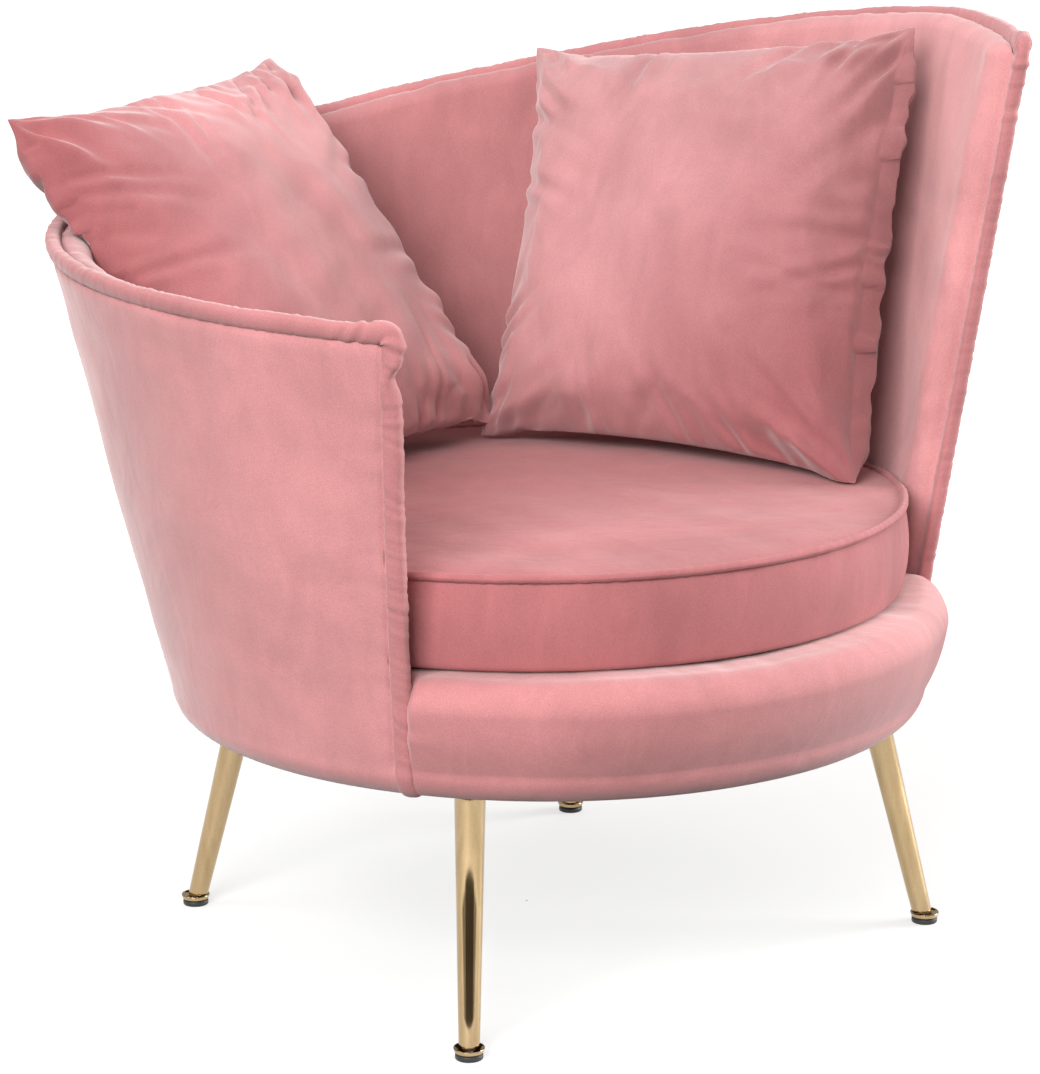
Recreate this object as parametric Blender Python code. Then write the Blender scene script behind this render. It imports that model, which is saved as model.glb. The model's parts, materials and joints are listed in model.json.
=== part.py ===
"""Tub armchair: a round sprung base on four splayed brass legs, a flared shell whose
rim rises from the low left arm to the high right corner, a loose round seat cushion
and two scatter pillows. Metres, +Z up, the chair faces -Y. The origin is on the floor
at the middle of the chair's footprint box.
"""

import math

import bmesh
import bpy
from mathutils import Matrix, Vector

# Heights above the floor.
BASE_BOTTOM = 0.210
BASE_WIDEST = 0.236
SEAT_LEVEL = 0.314
CUSHION_BOTTOM = 0.3155
PIPING_HEIGHT = 0.3925

# The axis of the round base, measured from the origin.
BASE_X = -0.0176
BASE_Y = -0.0528

# The shell is a leaning cone: radius and centre both grow with height.
BASE_RADIUS = 0.3346
SHELL_FLARE = 0.198
SHELL_LEAN = 0.0826
EDGE_ROUND = 0.026

# Directions around the base, in degrees from +X. The shell runs from its right front
# edge round the back to its left front edge. It wraps further round as it rises, so a
# direction on the wall is the one that it has at the base.
RIGHT_EDGE = -29.2
LEFT_EDGE = 209.2
BACK = 90.0
FRONT = 270.0
WRAP_GROWTH = 0.1415
RIM_HEIGHTS = (
    (-29.2, 0.790), (-6.0, 0.803), (25.0, 0.779), (62.0, 0.724),
    (99.5, 0.669), (132.5, 0.636), (170.5, 0.619), (209.2, 0.605),
)
WALL_STEPS = 32
WALL_LEVELS = 5
WALL_FOOT = 0.302
FOAM_STEP = 0.345
SQUEEZE_HEIGHT = 0.08
BAND_STEPS = 16
ROUND_STEPS = 32

# Layers of the wall, as depths from the outer face.
COVER = 0.002
BOARD = 0.004
FRAME = 0.008
GAP = 0.0004
WALL = 0.032
WALL_AT_SEAT = 0.022
WELT_HEIGHT = 0.016
WELT_DEPTH = 0.0105
WELT_PROUD = 0.0015
WELT_SPAN = 3.1
WELT_FOOT = 0.222
WELT_CLEARANCE = 0.04
CORNER_DROP = 0.004
CORNER_RUN = 0.7
CORNER_RISE = 0.6
RIM_ROLL = 0.0115
RIM_ROLL_DEPTH = 0.0205
RIM_ROLL_DROP = 0.018
END_PLATE = 0.45
BOARD_INSET = 0.15
LAYER_GAP = 0.0010
FRAME_OUTER = COVER + GAP + BOARD + LAYER_GAP
FRAME_INNER = FRAME_OUTER + FRAME
FRAME_FOOT = 0.240
RAIL_DROP = 0.021
RAIL_HEIGHT = 0.030

# Front band: where the covers turn in below and above, and its rounded front lip.
COVER_TURN_IN = 0.288
DECK_EDGE = 0.306
LIP_CENTRE = 0.328
LIP_ROUND = 0.024
BELLY = (0.3455, 0.263)
BAND_FOAM_BACK = 0.3202
BAND_FOAM_LOW = 0.2265
BAND_FOAM_HIGH = 0.2955

# Base frame.
RING_THICKNESS = 0.012
LOWER_RING_THICKNESS = 0.015
LOWER_RING = (0.215, 0.310)
UPPER_RING = (0.235, 0.3195)
LOWER_RING_BOTTOM = 0.2125
UPPER_RING_BOTTOM = 0.282
POST_STEPS = {"right_front": 1, "right_back": 10, "left_back": 21, "left_front": 30}
FRONT_POST_ANGLE = 270.0
POST_WIDTH = 0.040
POST_RADIUS = 0.288
SPRING_OFFSETS = (-0.15, -0.05, 0.05, 0.15)
SPRING_WIRE = 0.0017
SPRING_REACH = 0.262
SPRING_PITCH = 0.024
SPRING_SWING = 0.021
DUST_COVER_RADIUS = 0.287
DUST_COVER = (0.2102, 0.2113)
DECK_PAD_SHIFT = 0.006
DECK_PAD_PROFILE = (
    (0.0, 0.3003), (0.296, 0.3003), (0.298, 0.303),
    (0.298, 0.311), (0.295, 0.3135), (0.0, 0.3135),
)

# Seat cushion.
CUSHION_RADIUS = 0.317
CUSHION_SHIFT = 0.0122
CUSHION_STRETCH = 1.021
CUSHION_BULGE = 0.0045
CUSHION_CROWN = 0.009
PANEL = 0.0018
PIPING_RADIUS = 0.0036

# Scatter pillows: half side, half thickness, and where each one stands.
PILLOW_HALF = 0.193
PILLOW_PLUMP = 0.060
PILLOW_SOFTNESS = 0.5
PILLOW_PULL = 0.055
PILLOW_GRID = 8
PILLOW_FABRIC = 0.003
FILLING_INSET = 0.008
FILLING_CLEARANCE = 0.0065
PILLOWS = {
    "left": {"centre": (-0.1340, 0.2112, 0.5793), "facing": -73.0, "lean": 35.0, "roll": 4.0},
    "right": {"centre": (0.211, 0.013, 0.5915), "facing": -161.0, "lean": 19.5, "roll": 3.0},
}

# Legs: foot points on the floor, splay towards the base axis.
FEET = {
    "front_left": (-0.2781, -0.2715),
    "front_right": (0.2429, -0.2715),
    "back_left": (-0.2411, 0.1857),
    "back_right": (0.2059, 0.1857),
}
LEG_SPLAY = 14.3
SPLAY_HEADING = 50.0
LEG_TOP_RADIUS = 0.0131
LEG_BOTTOM_RADIUS = 0.0088
LEG_BOTTOM = 0.0092
PLATE_BOTTOM = 0.2067
PLATE_THICKNESS = 0.003
PLATE_RADIUS = 0.030
PLATE_INSET = 0.014
BORE_RADIUS = 0.0044
BORE_TOP = 0.046
STEM_RADIUS = 0.0039
STEM_NECK = 0.0025
STEM_TOP = 0.034
PAD_RADIUS = 0.0115
PAD_HEIGHT = 0.0048
CUP_RADIUS = 0.0127
CUP_HOLE = 0.0058
SCREW_SPACING = 0.021
SCREW_SETBACK = 0.006
SCREW_HOLE = 0.0026
SCREW_SHANK = 0.0020
SCREW_HEAD = 0.0042
SCREW_LENGTH = 0.019

VELVET = ("velvet", (0.66, 0.26, 0.27), 0.75, 0.0)
LINING = ("lining", (0.03, 0.03, 0.03), 0.9, 0.0)
FOAM = ("foam", (0.86, 0.82, 0.70), 0.95, 0.0)
FIBRE = ("fibre", (0.92, 0.92, 0.90), 0.95, 0.0)
PLYWOOD = ("plywood", (0.62, 0.45, 0.28), 0.7, 0.0)
HARDBOARD = ("hardboard", (0.32, 0.20, 0.12), 0.8, 0.0)
BRASS = ("brass", (0.78, 0.58, 0.30), 0.18, 1.0)
STEEL = ("steel", (0.55, 0.55, 0.56), 0.35, 1.0)
PLASTIC = ("plastic", (0.03, 0.028, 0.03), 0.5, 0.0)


def clear_scene():
    for obj in list(bpy.data.objects):
        bpy.data.objects.remove(obj, do_unlink=True)


def material(finish):
    name, colour, roughness, metallic = finish
    made = bpy.data.materials.get(name)
    if made is None:
        made = bpy.data.materials.new(name)
        made.use_nodes = True
        shader = made.node_tree.nodes["Principled BSDF"]
        shader.inputs["Base Color"].default_value = (*colour, 1.0)
        shader.inputs["Roughness"].default_value = roughness
        shader.inputs["Metallic"].default_value = metallic
    return made


def add_object(name, mesh, finish, smooth=True):
    obj = bpy.data.objects.new(name, mesh)
    bpy.context.scene.collection.objects.link(obj)
    mesh.materials.append(material(finish))
    if smooth:
        mesh.shade_smooth()
        mesh.set_sharp_from_angle(angle=math.radians(35))
    return obj


def finish_mesh(name, bm):
    bmesh.ops.recalc_face_normals(bm, faces=bm.faces)
    if bm.calc_volume(signed=True) < 0:
        bmesh.ops.reverse_faces(bm, faces=bm.faces)
    mesh = bpy.data.meshes.new(name)
    bm.to_mesh(mesh)
    bm.free()
    return mesh


def ribbon_cap(bm, ring):
    """Closes an outline that runs out along one side and back along the other."""
    near, far = 0, len(ring) - 1
    while far - near > 2:
        bm.faces.new((ring[near], ring[near + 1], ring[far - 1]))
        bm.faces.new((ring[near], ring[far - 1], ring[far]))
        near, far = near + 1, far - 1
    if far - near == 2:
        bm.faces.new((ring[near], ring[near + 1], ring[far]))


def loft(name, sections, finish, ribbon=True):
    """One closed body through a row of outlines that have the same number of points.
    Each patch is split from its lower near corner to its upper far corner, so that the
    layers of the wall stay parallel."""
    bm = bmesh.new()
    rings = [[bm.verts.new(point) for point in outline] for outline in sections]
    for first, second in zip(rings, rings[1:]):
        count = len(first)
        for i in range(count):
            j = (i + 1) % count
            low, high = (i, j) if first[i].co.z <= first[j].co.z else (j, i)
            bm.faces.new((first[low], first[high], second[high]))
            bm.faces.new((first[low], second[high], second[low]))
    for ring in (rings[0], rings[-1]):
        if ribbon:
            ribbon_cap(bm, ring)
        else:
            bm.faces.new(ring)
    return add_object(name, finish_mesh(name, bm), finish)


def turned(name, profile, finish, steps=ROUND_STEPS, centre=(0.0, 0.0), stretch=1.0):
    """A closed profile of (radius, height) turned about an upright axis, with its width
    stretched. A radius of 0 at the profile's first or last point closes the body."""
    bm = bmesh.new()
    columns = []
    for radius, height in profile:
        if radius == 0.0:
            columns.append([bm.verts.new((centre[0], centre[1], height))] * steps)
            continue
        column = []
        for i in range(steps):
            angle = 2 * math.pi * i / steps
            x = centre[0] + stretch * radius * math.cos(angle)
            y = centre[1] + radius * math.sin(angle)
            column.append(bm.verts.new((x, y, height)))
        columns.append(column)
    on_axis = profile[0][0] == 0.0
    pairs = list(zip(columns, columns[1:]))
    if not on_axis:
        pairs.append((columns[-1], columns[0]))
    for low, high in pairs:
        for i in range(steps):
            j = (i + 1) % steps
            corners = dict.fromkeys((low[i], low[j], high[j], high[i]))
            if len(corners) > 2:
                bm.faces.new(tuple(corners))
    return add_object(name, finish_mesh(name, bm), finish)


def arc(centre, radius, start, end, count):
    """Points (x, z) on an arc, angles in degrees."""
    points = []
    for i in range(count + 1):
        angle = math.radians(start + (end - start) * i / count)
        points.append((centre[0] + radius * math.cos(angle), centre[1] + radius * math.sin(angle)))
    return points


def spread(start, end, steps):
    return [start + (end - start) * i / steps for i in range(steps + 1)]


def cut(obj, cutter):
    """Subtracts a hidden cutter from an object."""
    cutter.hide_render = True
    cutter.display_type = "WIRE"
    modifier = obj.modifiers.new("holes", "BOOLEAN")
    modifier.operation = "DIFFERENCE"
    modifier.solver = "EXACT"
    modifier.object = cutter


# ---------------------------------------------------------------- the shell's surface


def rim_height(angle):
    """Height of the top of the rim in a direction: a smooth curve through RIM_HEIGHTS."""
    knots = RIM_HEIGHTS
    angle = min(max(angle, knots[0][0]), knots[-1][0])
    slopes = []
    for i in range(len(knots)):
        before = knots[max(i - 1, 0)]
        after = knots[min(i + 1, len(knots) - 1)]
        slopes.append((after[1] - before[1]) / (after[0] - before[0]))
    for i in range(len(knots) - 1):
        a0, h0 = knots[i]
        a1, h1 = knots[i + 1]
        if angle <= a1:
            span = a1 - a0
            t = (angle - a0) / span
            low = h0 * (1 + 2 * t) * (1 - t) ** 2 + slopes[i] * span * t * (1 - t) ** 2
            high = h1 * (3 - 2 * t) * t * t - slopes[i + 1] * span * (1 - t) * t * t
            return low + high
    return knots[-1][1]


def outer_radius(height):
    return BASE_RADIUS + SHELL_FLARE * (height - BASE_WIDEST)


def base_point(angle, radius, height):
    """A point at a radius about the leaning axis of the shell."""
    lean = SHELL_LEAN * max(height - BASE_WIDEST, 0.0)
    turn = math.radians(angle)
    return (
        BASE_X + radius * math.cos(turn),
        BASE_Y + lean + radius * math.sin(turn),
        height,
    )


def wrapped(angle, height):
    return BACK + (angle - BACK) * (1 + WRAP_GROWTH * max(height - BASE_WIDEST, 0.0))


def wall_point(angle, depth, height):
    return base_point(wrapped(angle, height), outer_radius(height) - depth, height)


def wall_depth(height):
    """Thickness of the padded wall, which is squeezed thinner beside the seat."""
    t = min(max((height - SEAT_LEVEL) / SQUEEZE_HEIGHT, 0.0), 1.0)
    return WALL_AT_SEAT + (WALL - WALL_AT_SEAT) * t * t * (3 - 2 * t)


def wall_angles(inset=0.0):
    """Directions shared by every layer of the wall; only the two ends are drawn in."""
    angles = spread(RIGHT_EDGE, LEFT_EDGE, WALL_STEPS)
    return [RIGHT_EDGE + inset] + angles[1:-1] + [LEFT_EDGE - inset]


def levels(angle, low, high):
    """Heights from low to high through the ones shared by every layer of the wall."""
    return [low, *spread(BASE_WIDEST, rim_height(angle), WALL_LEVELS)[1:-1], high]


def inner_face(angle, offset):
    """The padded inner face from below the seat up and over the rim, offset inwards."""
    top = rim_height(angle)
    turn_centre = (RIM_ROLL_DEPTH, top - RIM_ROLL_DROP)
    points = []
    for height in (WALL_FOOT, FOAM_STEP, *levels(angle, WALL_FOOT, top)[2:-1]):
        points.append((wall_depth(height) - offset, height))
    for depth, height in arc(turn_centre, RIM_ROLL - offset, 0, 90, 3):
        points.append((depth, height))
    points.append((WELT_DEPTH + GAP, turn_centre[1] + RIM_ROLL - offset))
    return points


def to_wall(angle, outline):
    return [wall_point(angle, depth, height) for depth, height in outline]


def build_shell_cover_outer():
    sections = []
    for angle in wall_angles():
        seam = rim_height(angle) - WELT_HEIGHT - GAP
        corner = (BASE_RADIUS - EDGE_ROUND, BASE_WIDEST)
        outline = [base_point(angle, COVER_TURN_IN, BASE_BOTTOM)]
        outline += [base_point(angle, r, z) for r, z in arc(corner, EDGE_ROUND, -90, 0, 4)]
        heights = levels(angle, BASE_WIDEST, seam)[1:]
        outline += [wall_point(angle, 0.0, z) for z in heights]
        outline += [wall_point(angle, COVER, z) for z in reversed(heights)]
        outline += [base_point(angle, r, z) for r, z in arc(corner, EDGE_ROUND - COVER, 0, -90, 4)]
        outline.append(base_point(angle, COVER_TURN_IN, BASE_BOTTOM + COVER))
        sections.append(outline)
    return loft("shell_cover_outer", sections, VELVET)


def build_shell_board():
    outer = COVER + GAP
    sections = []
    for angle in wall_angles(BOARD_INSET):
        top = rim_height(angle) - WELT_HEIGHT - GAP
        heights = levels(angle, FRAME_FOOT - 0.0005, top)
        outline = [(outer, z) for z in heights]
        outline += [(outer + BOARD, z) for z in reversed(heights)]
        sections.append(to_wall(angle, outline))
    return loft("shell_board", sections, HARDBOARD)


def build_shell_rail():
    sections = []
    for angle in wall_angles(END_PLATE + 0.1):
        high = rim_height(angle) - RAIL_DROP
        low = high - RAIL_HEIGHT
        outline = [(FRAME_OUTER, low), (FRAME_OUTER, high), (FRAME_INNER, high), (FRAME_INNER, low)]
        sections.append(to_wall(angle, outline))
    return loft("shell_rail", sections, PLYWOOD)


def build_shell_posts():
    angles = wall_angles()
    for name, step in POST_STEPS.items():
        sections = []
        for angle in angles[step:step + 2]:
            top = rim_height(angle) - RAIL_DROP - RAIL_HEIGHT - 2 * GAP
            heights = levels(angle, FRAME_FOOT, top)
            outline = [(FRAME_OUTER, z) for z in heights]
            outline += [(FRAME_INNER, z) for z in reversed(heights)]
            sections.append(to_wall(angle, outline))
        loft("shell_post_" + name, sections, PLYWOOD)


def build_shell_foam():
    back = FRAME_INNER + LAYER_GAP
    sections = []
    for angle in wall_angles(END_PLATE):
        face = inner_face(angle, COVER + GAP)
        face[-1] = (WELT_DEPTH + GAP, face[-1][1])
        over_rail = rim_height(angle) - RAIL_DROP + GAP
        outline = face + [(WELT_DEPTH + GAP, over_rail)]
        outline += [(back, z) for z in reversed(levels(angle, WALL_FOOT, over_rail))]
        sections.append(to_wall(angle, outline))
    return loft("shell_foam", sections, FOAM)


def build_shell_cover_inner():
    """A sheet over the foam that turns over the wall's two front ends as flat plates."""
    def sheet(angle):
        back = list(reversed(inner_face(angle, COVER)))
        return to_wall(angle, inner_face(angle, 0.0) + back)

    def plate(angle):
        face = inner_face(angle, 0.0)
        back = [(WELT_DEPTH + GAP, height) for _, height in reversed(inner_face(angle, COVER))]
        return to_wall(angle, face + back)

    inset = END_PLATE - 0.05
    inner = wall_angles(inset)
    sections = [plate(RIGHT_EDGE), plate(inner[0] - 0.01)]
    sections += [sheet(angle) for angle in inner]
    sections += [plate(inner[-1] + 0.01), plate(LEFT_EDGE)]
    return loft("shell_cover_inner", sections, VELVET)


def build_shell_welt():
    """A flat folded strip along the wall's edge: flat against the outer face, thin
    across the wall, and turned through the two corners."""
    across = WELT_DEPTH + WELT_PROUD
    rounded = (
        (0, 0.12), (0, 0.88), (0.25, 1.0), (0.75, 1.0),
        (1, 0.88), (1, 0.12), (0.75, 0), (0.25, 0),
    )

    def strip(angle, height, rise, run):
        """Outline of the strip with its width along (run degrees, rise metres)."""
        outline = []
        for side, reach in rounded:
            depth = -WELT_PROUD + across * side
            outline.append(wall_point(angle + run * reach, depth, height + rise * reach))
        return outline

    def edge_degrees(height):
        return math.degrees(WELT_HEIGHT / outer_radius(height))

    def front_edge(edge, outward):
        """Sections up one front edge, ending with the slanted one at its corner."""
        seam = rim_height(edge) - WELT_HEIGHT
        start = edge + outward * WELT_CLEARANCE
        found = []
        for height in [WELT_FOOT] + levels(edge, BASE_WIDEST, seam - CORNER_DROP):
            found.append(strip(start, height, 0.0, outward * edge_degrees(height)))
        corner = outward * edge_degrees(seam) * CORNER_RUN
        found.append(strip(start, seam + GAP, WELT_HEIGHT * CORNER_RISE, corner))
        return found

    sections = front_edge(LEFT_EDGE, 1)
    for angle in reversed(wall_angles(END_PLATE - 0.05)):
        sections.append(strip(angle, rim_height(angle) - WELT_HEIGHT, WELT_HEIGHT, 0.0))
    sections += reversed(front_edge(RIGHT_EDGE, -1))
    return loft("shell_welt", sections, VELVET)


# ---------------------------------------------------------------- the base


def band_outline(offset):
    """Outer face of the front band from under the base, up and over the front rim."""
    corner = (BASE_RADIUS - EDGE_ROUND, BASE_WIDEST)
    lip = (LIP_CENTRE, SEAT_LEVEL - LIP_ROUND)
    points = arc(corner, EDGE_ROUND - offset, -90, 0, 4)
    points.append((BELLY[0] - offset, BELLY[1]))
    points += arc(lip, LIP_ROUND - offset, 0, 90, 4)
    return points


def band_point(share, radius, height, inset):
    """A point on the front band, share 0 at its left end and 1 at its right end."""
    half = FRONT - wrapped(LEFT_EDGE, height) - WELT_SPAN - inset
    turn = math.radians(FRONT + half * (2 * share - 1))
    return (BASE_X + radius * math.cos(turn), BASE_Y + radius * math.sin(turn), height)


def build_band(name, outline, finish, inset=0.0, ribbon=True):
    sections = []
    for share in spread(0.0, 1.0, BAND_STEPS):
        sections.append([band_point(share, r, z, inset) for r, z in outline])
    return loft(name, sections, finish, ribbon)


def build_base_front():
    def face(offset):
        low = (COVER_TURN_IN, BASE_BOTTOM + offset)
        return [low] + band_outline(offset) + [(DECK_EDGE, SEAT_LEVEL - offset)]

    build_band("base_front_cover", face(0.0) + face(COVER)[::-1], VELVET)
    lining = COVER + GAP
    foam = band_outline(lining)[2:] + [
        (DECK_EDGE, SEAT_LEVEL - lining), (DECK_EDGE, BAND_FOAM_HIGH),
        (BAND_FOAM_BACK, BAND_FOAM_HIGH), (BAND_FOAM_BACK, BAND_FOAM_LOW),
    ]
    build_band("base_front_foam", foam, FOAM, inset=0.2, ribbon=False)


def ring_profile(inner, outer, bottom, thickness):
    top = bottom + thickness
    return [(outer, bottom), (outer, top), (inner, top), (inner, bottom)]


def screw_points():
    """Two screws beside each leg, towards the base axis."""
    points = {}
    for name in FEET:
        centre = plate_centre(name)
        inward = (Vector((BASE_X, BASE_Y)) - centre).normalized()
        sideways = Vector((-inward.y, inward.x))
        for number, side in ((1, -1), (2, 1)):
            points[f"{name}_{number}"] = centre + inward * SCREW_SETBACK + sideways * SCREW_SPACING * side
    return points


def screw_cutter(name, low, high):
    """All the screw holes as one hidden cutter."""
    bm = bmesh.new()
    for point in screw_points().values():
        middle = Matrix.Translation((point.x, point.y, (low + high) / 2))
        bmesh.ops.create_cone(
            bm, cap_ends=True, segments=10, radius1=SCREW_HOLE, radius2=SCREW_HOLE,
            depth=high - low, matrix=middle,
        )
    return add_object(name, finish_mesh(name, bm), STEEL)


def build_base_frame():
    centre = (BASE_X, BASE_Y)
    lower = turned(
        "base_ring_lower",
        ring_profile(*LOWER_RING, LOWER_RING_BOTTOM, LOWER_RING_THICKNESS),
        PLYWOOD, centre=centre,
    )
    cut(lower, screw_cutter("ring_screw_holes", LOWER_RING_BOTTOM - 0.01, LOWER_RING_BOTTOM + 0.03))
    turned(
        "base_ring_upper",
        ring_profile(*UPPER_RING, UPPER_RING_BOTTOM, RING_THICKNESS),
        PLYWOOD, centre=centre,
    )
    under, over = DUST_COVER
    cover = turned(
        "dust_cover",
        [(0.0, under), (DUST_COVER_RADIUS, under), (DUST_COVER_RADIUS, over), (0.0, over)],
        LINING, centre=centre,
    )
    cut(cover, screw_cutter("cover_screw_holes", under - 0.01, over + 0.01))
    steps = wall_angles()
    angles = {name: (steps[step] + steps[step + 1]) / 2 for name, step in POST_STEPS.items()}
    angles["front"] = FRONT_POST_ANGLE
    low = LOWER_RING_BOTTOM + LOWER_RING_THICKNESS + GAP
    high = UPPER_RING_BOTTOM - GAP
    for name, angle in angles.items():
        bm = bmesh.new()
        turn = Matrix.Rotation(math.radians(angle), 4, "Z")
        place = Matrix.Translation((BASE_X, BASE_Y, (low + high) / 2)) @ turn
        place = place @ Matrix.Translation((POST_RADIUS, 0.0, 0.0))
        size = Matrix.Diagonal((POST_WIDTH, POST_WIDTH, high - low, 1.0))
        bmesh.ops.create_cube(bm, size=1.0, matrix=place @ size)
        add_object("base_post_" + name, finish_mesh("post", bm), PLYWOOD, smooth=False)


def build_springs():
    """Sinuous wire springs from the front to the back of the upper ring."""
    height = UPPER_RING_BOTTOM + RING_THICKNESS + SPRING_WIRE + 0.0006
    for number, offset in enumerate(SPRING_OFFSETS, 1):
        reach = math.sqrt(SPRING_REACH ** 2 - offset ** 2)
        loops = round(reach / SPRING_PITCH)
        curve = bpy.data.curves.new(f"seat_spring_{number}", "CURVE")
        curve.dimensions = "3D"
        curve.bevel_depth = SPRING_WIRE
        curve.bevel_resolution = 0
        curve.use_fill_caps = True
        points = []
        for i in range(4 * loops + 1):
            along = -reach + 2 * reach * i / (4 * loops)
            side = SPRING_SWING * math.sin(math.pi * i / 2) if 0 < i < 4 * loops else 0.0
            points.append((BASE_X + offset + side, BASE_Y + along, height))
        spline = curve.splines.new("POLY")
        spline.points.add(len(points) - 1)
        for target, point in zip(spline.points, points):
            target.co = (*point, 1.0)
        obj = bpy.data.objects.new(f"seat_spring_{number}", curve)
        bpy.context.scene.collection.objects.link(obj)
        curve.materials.append(material(STEEL))


def build_deck_pad():
    centre = (BASE_X, BASE_Y + DECK_PAD_SHIFT)
    turned("deck_pad", DECK_PAD_PROFILE, FOAM, centre=centre)


# ---------------------------------------------------------------- the seat cushion


def build_cushion():
    centre = (BASE_X, BASE_Y + CUSHION_SHIFT)
    bottom, piping, radius, stretch = CUSHION_BOTTOM, PIPING_HEIGHT, CUSHION_RADIUS, CUSHION_STRETCH
    boxing_low = bottom + 0.0006
    boxing_high = piping - PIPING_RADIUS - 0.0004
    middle = (boxing_low + boxing_high) / 2
    waist = radius + CUSHION_BULGE

    def side(offset):
        quarter = (middle - boxing_low) / 2
        near = radius + 0.7 * CUSHION_BULGE
        return [
            (radius - offset, boxing_low), (near - offset, middle - quarter), (waist - offset, middle),
            (near - offset, middle + quarter), (radius - offset, boxing_high),
        ]

    turned("cushion_boxing", side(0.0) + side(PANEL)[::-1], VELVET, centre=centre, stretch=stretch)
    turned(
        "cushion_piping",
        arc((radius + 0.0008, piping), PIPING_RADIUS, -90, 210, 5),
        VELVET, centre=centre, stretch=stretch,
    )
    edge = radius - PIPING_RADIUS - 0.0002
    rise = piping + CUSHION_CROWN

    def crown(offset):
        return [
            (edge, piping - offset), (0.92 * edge, piping + 0.45 * CUSHION_CROWN - offset),
            (0.7 * edge, piping + 0.85 * CUSHION_CROWN - offset), (0.0, rise - offset),
        ]

    turned("cushion_top_panel", crown(PANEL)[::-1] + crown(0.0), VELVET, centre=centre, stretch=stretch)
    floor = bottom + PANEL
    lining = radius - PANEL - 0.0005
    turned(
        "cushion_bottom_panel",
        [(0.0, bottom), (lining, bottom), (lining, floor), (0.0, floor)],
        VELVET, centre=centre, stretch=stretch,
    )
    inside = side(PANEL + GAP)[1:4]
    core = [(0.0, floor + GAP), (lining - 0.003, floor + GAP)] + inside
    core += [(edge - 0.004, boxing_high - 0.001)]
    core += [(r, z) for r, z in crown(PANEL + GAP)[1:]]
    turned("cushion_core", core, FOAM, centre=centre, stretch=stretch)


# ---------------------------------------------------------------- the pillows


def pillow_frame(pose):
    """Matrix of a pillow: its own x to the side, y up its face, z out of its face."""
    facing, lean, roll = (math.radians(pose[key]) for key in ("facing", "lean", "roll"))
    out = Vector((math.cos(facing) * math.cos(lean), math.sin(facing) * math.cos(lean), math.sin(lean)))
    across = Vector((0, 0, 1)).cross(out).normalized()
    up = out.cross(across)
    turn = Matrix((across, up, out)).transposed() @ Matrix.Rotation(roll, 3, "Z")
    return Matrix.Translation(pose["centre"]) @ turn.to_4x4()


def pillow_point(u, v, inset=0.0):
    """Plan position for u and v from -1 to 1: the sides pull in between the corners."""
    half = PILLOW_HALF - inset
    x = half * u * (1 - PILLOW_PULL * (1 - v * v))
    y = half * v * (1 - PILLOW_PULL * (1 - u * u))
    return x, y


def pillow_height(u, v, plump):
    return plump * ((1 - u * u) * (1 - v * v)) ** PILLOW_SOFTNESS


def pillow_shell(name, frame, side, thickness):
    """One fabric panel: a thin dish on one side of the pillow's middle plane."""
    bm = bmesh.new()
    steps = spread(-1.0, 1.0, PILLOW_GRID)
    layers = []
    for inner in (False, True):
        rows = []
        for v in steps:
            row = []
            for u in steps:
                x, y = pillow_point(u, v, thickness if inner else 0.0)
                rise = pillow_height(u, v, PILLOW_PLUMP - (thickness if inner else 0.0))
                row.append(bm.verts.new(frame @ Vector((x, y, side * (GAP + rise)))))
            rows.append(row)
        layers.append(rows)
    for rows in layers:
        for low, high in zip(rows, rows[1:]):
            for i in range(PILLOW_GRID):
                bm.faces.new((low[i], low[i + 1], high[i + 1], high[i]))
    outer, inner = layers
    border = [(0, i) for i in range(PILLOW_GRID)] + [(i, PILLOW_GRID) for i in range(PILLOW_GRID)]
    border += [(PILLOW_GRID, PILLOW_GRID - i) for i in range(PILLOW_GRID)]
    border += [(PILLOW_GRID - i, 0) for i in range(PILLOW_GRID)]
    for (r0, c0), (r1, c1) in zip(border, border[1:] + border[:1]):
        bm.faces.new((outer[r0][c0], outer[r1][c1], inner[r1][c1], inner[r0][c0]))
    return add_object(name, finish_mesh(name, bm), VELVET)


def pillow_filling(name, frame):
    bm = bmesh.new()
    steps = spread(-1.0, 1.0, PILLOW_GRID)
    faces = []
    for side in (-1, 1):
        rows = []
        for j, v in enumerate(steps):
            row = []
            for i, u in enumerate(steps):
                x, y = pillow_point(u, v, FILLING_INSET)
                on_edge = i in (0, PILLOW_GRID) or j in (0, PILLOW_GRID)
                rise = pillow_height(u, v, PILLOW_PLUMP - FILLING_CLEARANCE)
                if on_edge and side == 1:
                    row.append(faces[0][j][i])
                else:
                    row.append(bm.verts.new(frame @ Vector((x, y, side * rise))))
            rows.append(row)
        faces.append(rows)
    for rows in faces:
        for low, high in zip(rows, rows[1:]):
            for i in range(PILLOW_GRID):
                bm.faces.new((low[i], low[i + 1], high[i + 1], high[i]))
    return add_object(name, finish_mesh(name, bm), FIBRE)


def build_pillows():
    for name, pose in PILLOWS.items():
        frame = pillow_frame(pose)
        pillow_shell(f"pillow_{name}_front_panel", frame, 1, PILLOW_FABRIC)
        pillow_shell(f"pillow_{name}_back_panel", frame, -1, PILLOW_FABRIC)
        pillow_filling(f"pillow_{name}_filling", frame)


# ---------------------------------------------------------------- legs and glides


def leg_direction(name):
    """Unit vector up the leg's axis from its foot."""
    heading = math.radians(SPLAY_HEADING)
    splay = math.radians(LEG_SPLAY)
    x = math.copysign(math.cos(heading), -FEET[name][0]) * math.sin(splay)
    y = math.copysign(math.sin(heading), -FEET[name][1]) * math.sin(splay)
    return Vector((x, y, math.cos(splay)))


def axis_point(name, height):
    axis = leg_direction(name)
    return Vector((*FEET[name], 0.0)) + axis * (height / axis.z)


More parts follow.
